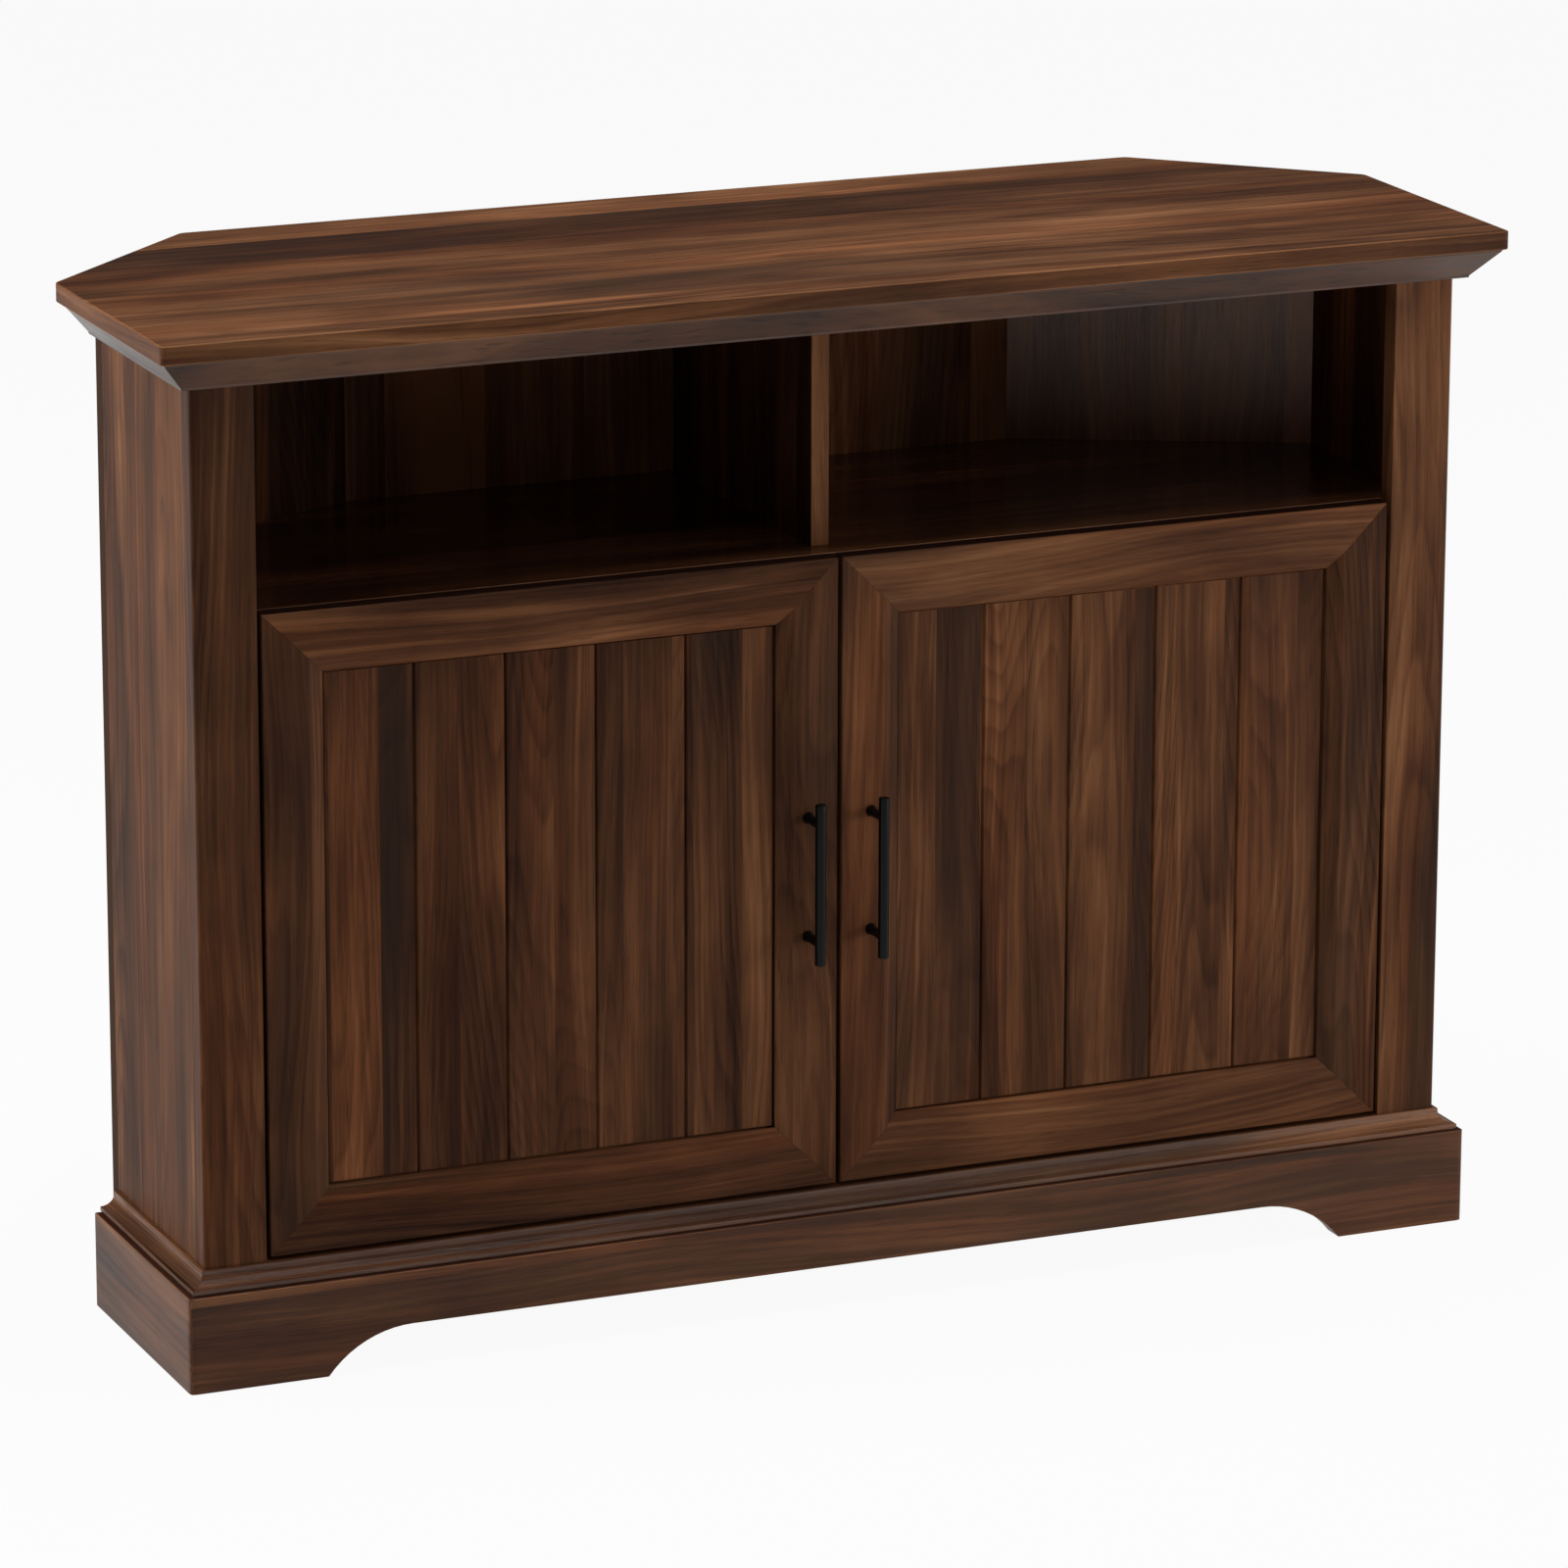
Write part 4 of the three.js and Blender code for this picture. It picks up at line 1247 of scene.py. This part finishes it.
@dataclass
class BarPull:
    """An upright bar on two flared standoffs."""

    shop: Workshop
    radius: float = 0.00425
    end_round: float = 0.0009
    standoff_radius: float = 0.0036
    foot_radius: float = 0.0046
    foot_edge: float = 0.0004
    foot_rim: float = 0.0018
    foot_length: float = 0.004
    spacing: float = 0.096
    steps: int = 40

    def build(self, side: str) -> None:
        """Makes the pull of one door.

        Args:
            side: The door's side, left or right.
        """
        node, name = side + "_handle", side + "_bar_pull"
        low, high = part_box(node)
        middle = (low + high) / 2
        axis = low.y + self.radius
        half = (high.z - low.z) / 2
        bar = lathe(rounded(half, self.radius, self.end_round), self.steps)
        shapes = [(bar, Matrix.Translation((middle.x, axis, middle.z)))]
        reach = high.y - axis
        profile = [
            (0.0, 0.0),
            (self.foot_radius - self.foot_edge, 0.0),
            (self.foot_radius, self.foot_edge),
            (self.foot_radius, self.foot_rim - 1.5 * self.foot_edge),
            (self.foot_radius - self.foot_edge, self.foot_rim),
            (self.standoff_radius, self.foot_length),
            (self.standoff_radius, reach),
            (0.0, reach),
        ]
        forward = Matrix.Rotation(math.pi / 2, 4, "X")
        for end in (-1, 1):
            place = Matrix.Translation((middle.x, high.y, middle.z + end * self.spacing / 2))
            shapes.append((lathe(profile, self.steps), place @ forward))
        self.shop.install(gathered(shapes, name), name, BLACK_COAT, side + "_door", [node])


@dataclass
class Door:
    """One framed door with its planks, pull, cups, strike plate and bumpers."""

    shop: Workshop
    side: str
    seed: float
    tone: float
    # Painted light: how much lighter the top rail is, against the shade under the crown
    top_rail_painted_light: float
    metal_arris: float = 0.0003
    # The plain darker colour of the top rail's upward face
    dark_top_colour: Rgb = (46, 24, 17)
    bumper_radius: float = 0.004
    bumper_height: float = 0.0017
    bumper_inset: float = 0.009
    bumper_side_inset: float = 0.022
    bumper_rings: int = 6
    bumper_steps: int = 24

    def build(self, panel: PlankPanel, pull: BarPull) -> None:
        """Dresses the door.

        Args:
            panel: What makes its planks.
            pull: What makes its handle.
        """
        for member, grain, offset, lift, plain in (
            ("hinge_stile", Grain.HEIGHT, 0.7, 0.05, PlainFaces.NONE),
            ("meeting_stile", Grain.HEIGHT, 1.9, 0.04, PlainFaces.NONE),
            ("bottom_rail", Grain.WIDTH, 2.8, 0.1, PlainFaces.NONE),
            # The top rail is lightened by painted light against the shade under the crown
            ("top_rail", Grain.WIDTH, 3.6, self.top_rail_painted_light, PlainFaces.TOP),
        ):
            edge = {"plain": plain, "plain_colour": self.dark_top_colour, "strip_width": 0.6}
            finish = WalnutBoard(grain, self.seed + offset, self.tone + lift, **edge)
            self.shop.ease(f"{self.side}_door_{member}", finish)
        panel.build(self.side, self.seed + 5.5, self.tone + 0.02)
        pull.build(self.side)
        for level in ("lower", "upper"):
            self.shop.dress(f"{self.side}_hinge_cup_{level}", NICKEL)
        self.shop.ease(self.side + "_strike_plate", NICKEL, self.metal_arris)
        self._bumpers()

    def _bumpers(self) -> None:
        """Sticks two clear bumpers on the back of the door, where it meets the fixed shelf."""
        low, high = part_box(f"{self.side}_door_top_rail")
        radius, height = self.bumper_radius, self.bumper_height
        turns = [math.pi / 2 * i / self.bumper_rings for i in range(self.bumper_rings)]
        dome = [(radius * math.cos(turn), height * math.sin(turn)) for turn in turns]
        profile = [(0.0, 0.0), *dome, (0.0, height)]
        name = self.side + "_bumpers"
        backward = Matrix.Rotation(-math.pi / 2, 4, "X")
        shapes = []
        for x in (low.x + self.bumper_side_inset, high.x - self.bumper_side_inset):
            place = Matrix.Translation((x, high.y, high.z - self.bumper_inset))
            shapes.append((lathe(profile, self.bumper_steps), place @ backward))
        self.shop.install(gathered(shapes, name), name, BUMPER, self.side + "_door")


@dataclass
class Fittings:
    """The hinge arms, catches, loose shelves and shelf pins, and the screws that show."""

    shop: Workshop
    screws: ScrewSet
    arm_arris: float = 0.0004
    catch_arris: float = 0.0008
    pin_arris: float = 0.0003
    cup_screw_spacing: float = 0.049
    pull_screw_spacing: float = 0.096
    cup_screw: float = 1.0
    pull_screw: float = 1.25
    strike_screw: float = 0.8
    back_screw: float = 0.9
    back_slope_deg: float = 26.1
    edge_inset: float = 0.01
    low_inset: float = 0.0075
    high_inset: float = 0.009
    shelf_level: float = 0.5955
    centre_inset: float = 0.04
    angled_step: float = 0.0715
    column_start: float = 0.135
    column_step: float = 0.127

    def build(self) -> None:
        """Dresses the fittings and drives the screws."""
        for side, seed in (("left", 51.7), ("right", 54.2)):
            for level in ("lower", "upper"):
                self.shop.ease(f"{side}_hinge_arm_{level}", NICKEL, self.arm_arris)
            self.shop.ease(side + "_magnetic_catch", CATCH_PLASTIC, self.catch_arris)
            shelf = WalnutBoard(Grain.WIDTH, seed, -0.04, slot="dark_walnut")
            self.shop.ease(side + "_loose_shelf", shelf)
            for wall in ("outer", "inner"):
                for place in ("1", "2"):
                    self.shop.ease(f"{side}_shelf_pin_{wall}_{place}", NICKEL, self.pin_arris)
            self._door_screws(side)
        self._back_screws()

    def _pair(self, middle: Triple, spacing: float, scale: float) -> ScrewRow:
        """Sets two screws one above the other, facing the back of the door."""
        x, y, z = middle
        return (x, y, z - spacing / 2), (0, 0, spacing), 2, (-90, 0, 0), scale

    def _door_screws(self, side: str) -> None:
        """Drives the cup screws, the pull's screws and the strike plate's screw of one door.

        Args:
            side: The door's side, left or right.
        """
        rows: list[ScrewRow] = []
        for level in ("lower", "upper"):
            cup = back_middle(f"{side}_hinge_cup_{level}")
            rows.append(self._pair(cup, self.cup_screw_spacing, self.cup_screw))
        x, _, z = back_middle(side + "_handle")
        pull = (x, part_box(side + "_door_meeting_stile")[1].y, z)
        rows.append(self._pair(pull, self.pull_screw_spacing, self.pull_screw))
        strike = back_middle(side + "_strike_plate")
        rows.append((strike, (0, 0, 0), 1, (-90, 0, 0), self.strike_screw))
        self.screws.build(side + "_door_screws", side + "_door", rows)

    def _back_screws(self) -> None:
        """Drives the screws that hold the backs, along their edges."""
        low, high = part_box("back_panel_center")
        levels = (low.z + self.low_inset, self.shelf_level, high.z - self.high_inset)
        step = ((high.x - low.x - 2 * self.centre_inset) / 4, 0, 0)
        rows: list[ScrewRow] = []
        for z in levels:
            first = (low.x + self.centre_inset, high.y, z)
            rows.append((first, step, 5, (-90, 0, 0), self.back_screw))
        slope = math.tan(math.radians(self.back_slope_deg))
        for side, sign in (("left", -1), ("right", 1)):
            near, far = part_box("back_panel_" + side)
            x = (far.x if sign > 0 else near.x) - sign * self.edge_inset
            y = far.y - (abs(x) - abs(high.x)) * slope
            turn = (-90, 0, -sign * self.back_slope_deg)
            step = (-sign * self.angled_step, self.angled_step * slope, 0)
            for z in levels:
                rows.append(((x, y, z), step, 4, turn, self.back_screw))
            first = (x, y, low.z + self.column_start)
            rows.append((first, (0, 0, self.column_step), 4, turn, self.back_screw))
        self.screws.build("back_screws", "cabinet", rows)


@dataclass(frozen=True)
class Softbox:
    """One soft lamp: where it hangs, what it faces, its size in metres and its power in watts."""

    name: str
    place: Triple
    aim: Triple
    size: tuple[float, float]
    power: float

    def hang(self) -> None:
        """Hangs the lamp."""
        data = bpy.data.lights.new(self.name, "AREA")
        data.shape = "RECTANGLE"
        data.size, data.size_y = self.size
        data.energy = self.power
        lamp = bpy.data.objects.new(self.name, data)
        lamp.location = self.place
        beam = Vector(self.aim) - Vector(self.place)
        lamp.rotation_euler = beam.to_track_quat("-Z", "Y").to_euler()
        bpy.context.scene.collection.objects.link(lamp)


@dataclass
class Studio:
    """A pale floor, soft lamps and the camera of the photograph."""

    lens_mm: float = 183.55
    sensor_mm: float = 36.0
    reach: float = 200.0
    place: Triple = (-2.3911, -5.654, 2.0795)
    heading_deg: float = 23.12
    dip_deg: float = 15.475
    roll_deg: float = 0.14
    floor_half: float = 30.0
    floor_colour: Shade = (0.78, 0.78, 0.78, 1.0)
    white: Shade = (1.0, 1.0, 1.0, 1.0)
    floor_glow: float = 0.94
    ambient: float = 0.1
    lamps: tuple[Softbox, ...] = (
        Softbox("high softbox", (0.1, -0.2, 3.3), (0.0, 0.0, 0.5), (2.6, 1.8), 66.0),
        Softbox("right softbox", (2.3, -1.9, 0.75), (0.2, -0.15, 0.5), (1.2, 0.9), 25.0),
        Softbox("left softbox", (-3.2, 0.9, 1.3), (-0.5, 0.1, 0.4), (1.8, 1.8), 64.0),
    )

    def build(self) -> None:
        """Sets up everything round the cabinet."""
        self._camera()
        self._floor()
        self._world()
        for lamp in self.lamps:
            lamp.hang()

    def _camera(self) -> None:
        """Places the camera."""
        data = bpy.data.cameras.new("photograph camera")
        data.lens = self.lens_mm
        data.sensor_width = self.sensor_mm
        data.clip_end = self.reach
        camera = bpy.data.objects.new("photograph camera", data)
        camera.location = self.place
        tilt, heading = math.radians(90 - self.dip_deg), math.radians(-self.heading_deg)
        roll = Matrix.Rotation(math.radians(self.roll_deg), 3, "Z")
        camera.rotation_euler = (Euler((tilt, 0, heading), "XYZ").to_matrix() @ roll).to_euler()
        bpy.context.scene.collection.objects.link(camera)
        bpy.context.scene.camera = camera

    def _floor(self) -> None:
        """Lays a white floor that still shows the cabinet's shadow."""
        mesh = bpy.data.meshes.new("floor")
        half = self.floor_half
        corners = [(-half, -half, 0), (half, -half, 0), (half, half, 0), (-half, half, 0)]
        mesh.from_pydata(corners, [], [(0, 1, 2, 3)])
        floor = bpy.data.objects.new("floor", mesh)
        bpy.context.scene.collection.objects.link(floor)
        made, wiring = blank_material("pale floor")
        matt = wiring.node("ShaderNodeBsdfDiffuse", {"Color": self.floor_colour})
        bright = wiring.node("ShaderNodeEmission", {"Color": self.white, "Strength": 1.0})
        path = wiring.node("ShaderNodeLightPath").outputs
        seen = wiring.number("MAXIMUM", path["Is Camera Ray"], path["Is Transmission Ray"])
        seen = wiring.number("MAXIMUM", seen, path["Is Glossy Ray"])
        share = wiring.number("MULTIPLY", seen, self.floor_glow)
        inputs = {0: share, 1: matt.outputs[0], 2: bright.outputs[0]}
        mixed = wiring.node("ShaderNodeMixShader", inputs)
        wiring.node("ShaderNodeOutputMaterial", {"Surface": mixed.outputs[0]})
        mesh.materials.append(made)

    def _world(self) -> None:
        """Makes the surroundings white to the eye and dimmer as a lamp."""
        world = bpy.data.worlds.new("studio")
        bpy.context.scene.world = world
        world.use_nodes = True
        world.node_tree.nodes.clear()
        wiring = Wiring(world.node_tree)
        path = wiring.node("ShaderNodeLightPath").outputs
        seen = wiring.number("MAXIMUM", path["Is Camera Ray"], path["Is Transmission Ray"])
        strength = wiring.mixed_number(seen, self.ambient, 1.0)
        back = wiring.node("ShaderNodeBackground", {"Color": self.white, "Strength": strength})
        wiring.node("ShaderNodeOutputWorld", {"Surface": back.outputs[0]})


def main() -> None:
    """Dresses the whole cabinet and sets up the studio."""
    logging.basicConfig(level=logging.INFO, format="%(name)s: %(message)s")
    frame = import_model()
    shop = Workshop(frame["nodes"], frame["record"]["behaviour"]["bodies"])
    bpy.context.scene.view_settings.view_transform = "Standard"
    Studio().build()
    TopAndCrown(shop).build()
    Carcass(shop).build()
    Base(shop).build()
    panel, pull = PlankPanel(shop), BarPull(shop)
    # The left door is toned darker than the right as painted shade, for the front growing lighter
    # to the right; each top rail gets painted light under the crown
    Door(shop, "left", 61.3, -0.09, 0.08).build(panel, pull)
    Door(shop, "right", 72.6, -0.02, 0.2).build(panel, pull)
    Fittings(shop, ScrewSet(shop)).build()


if __name__ == "__main__":
    main()
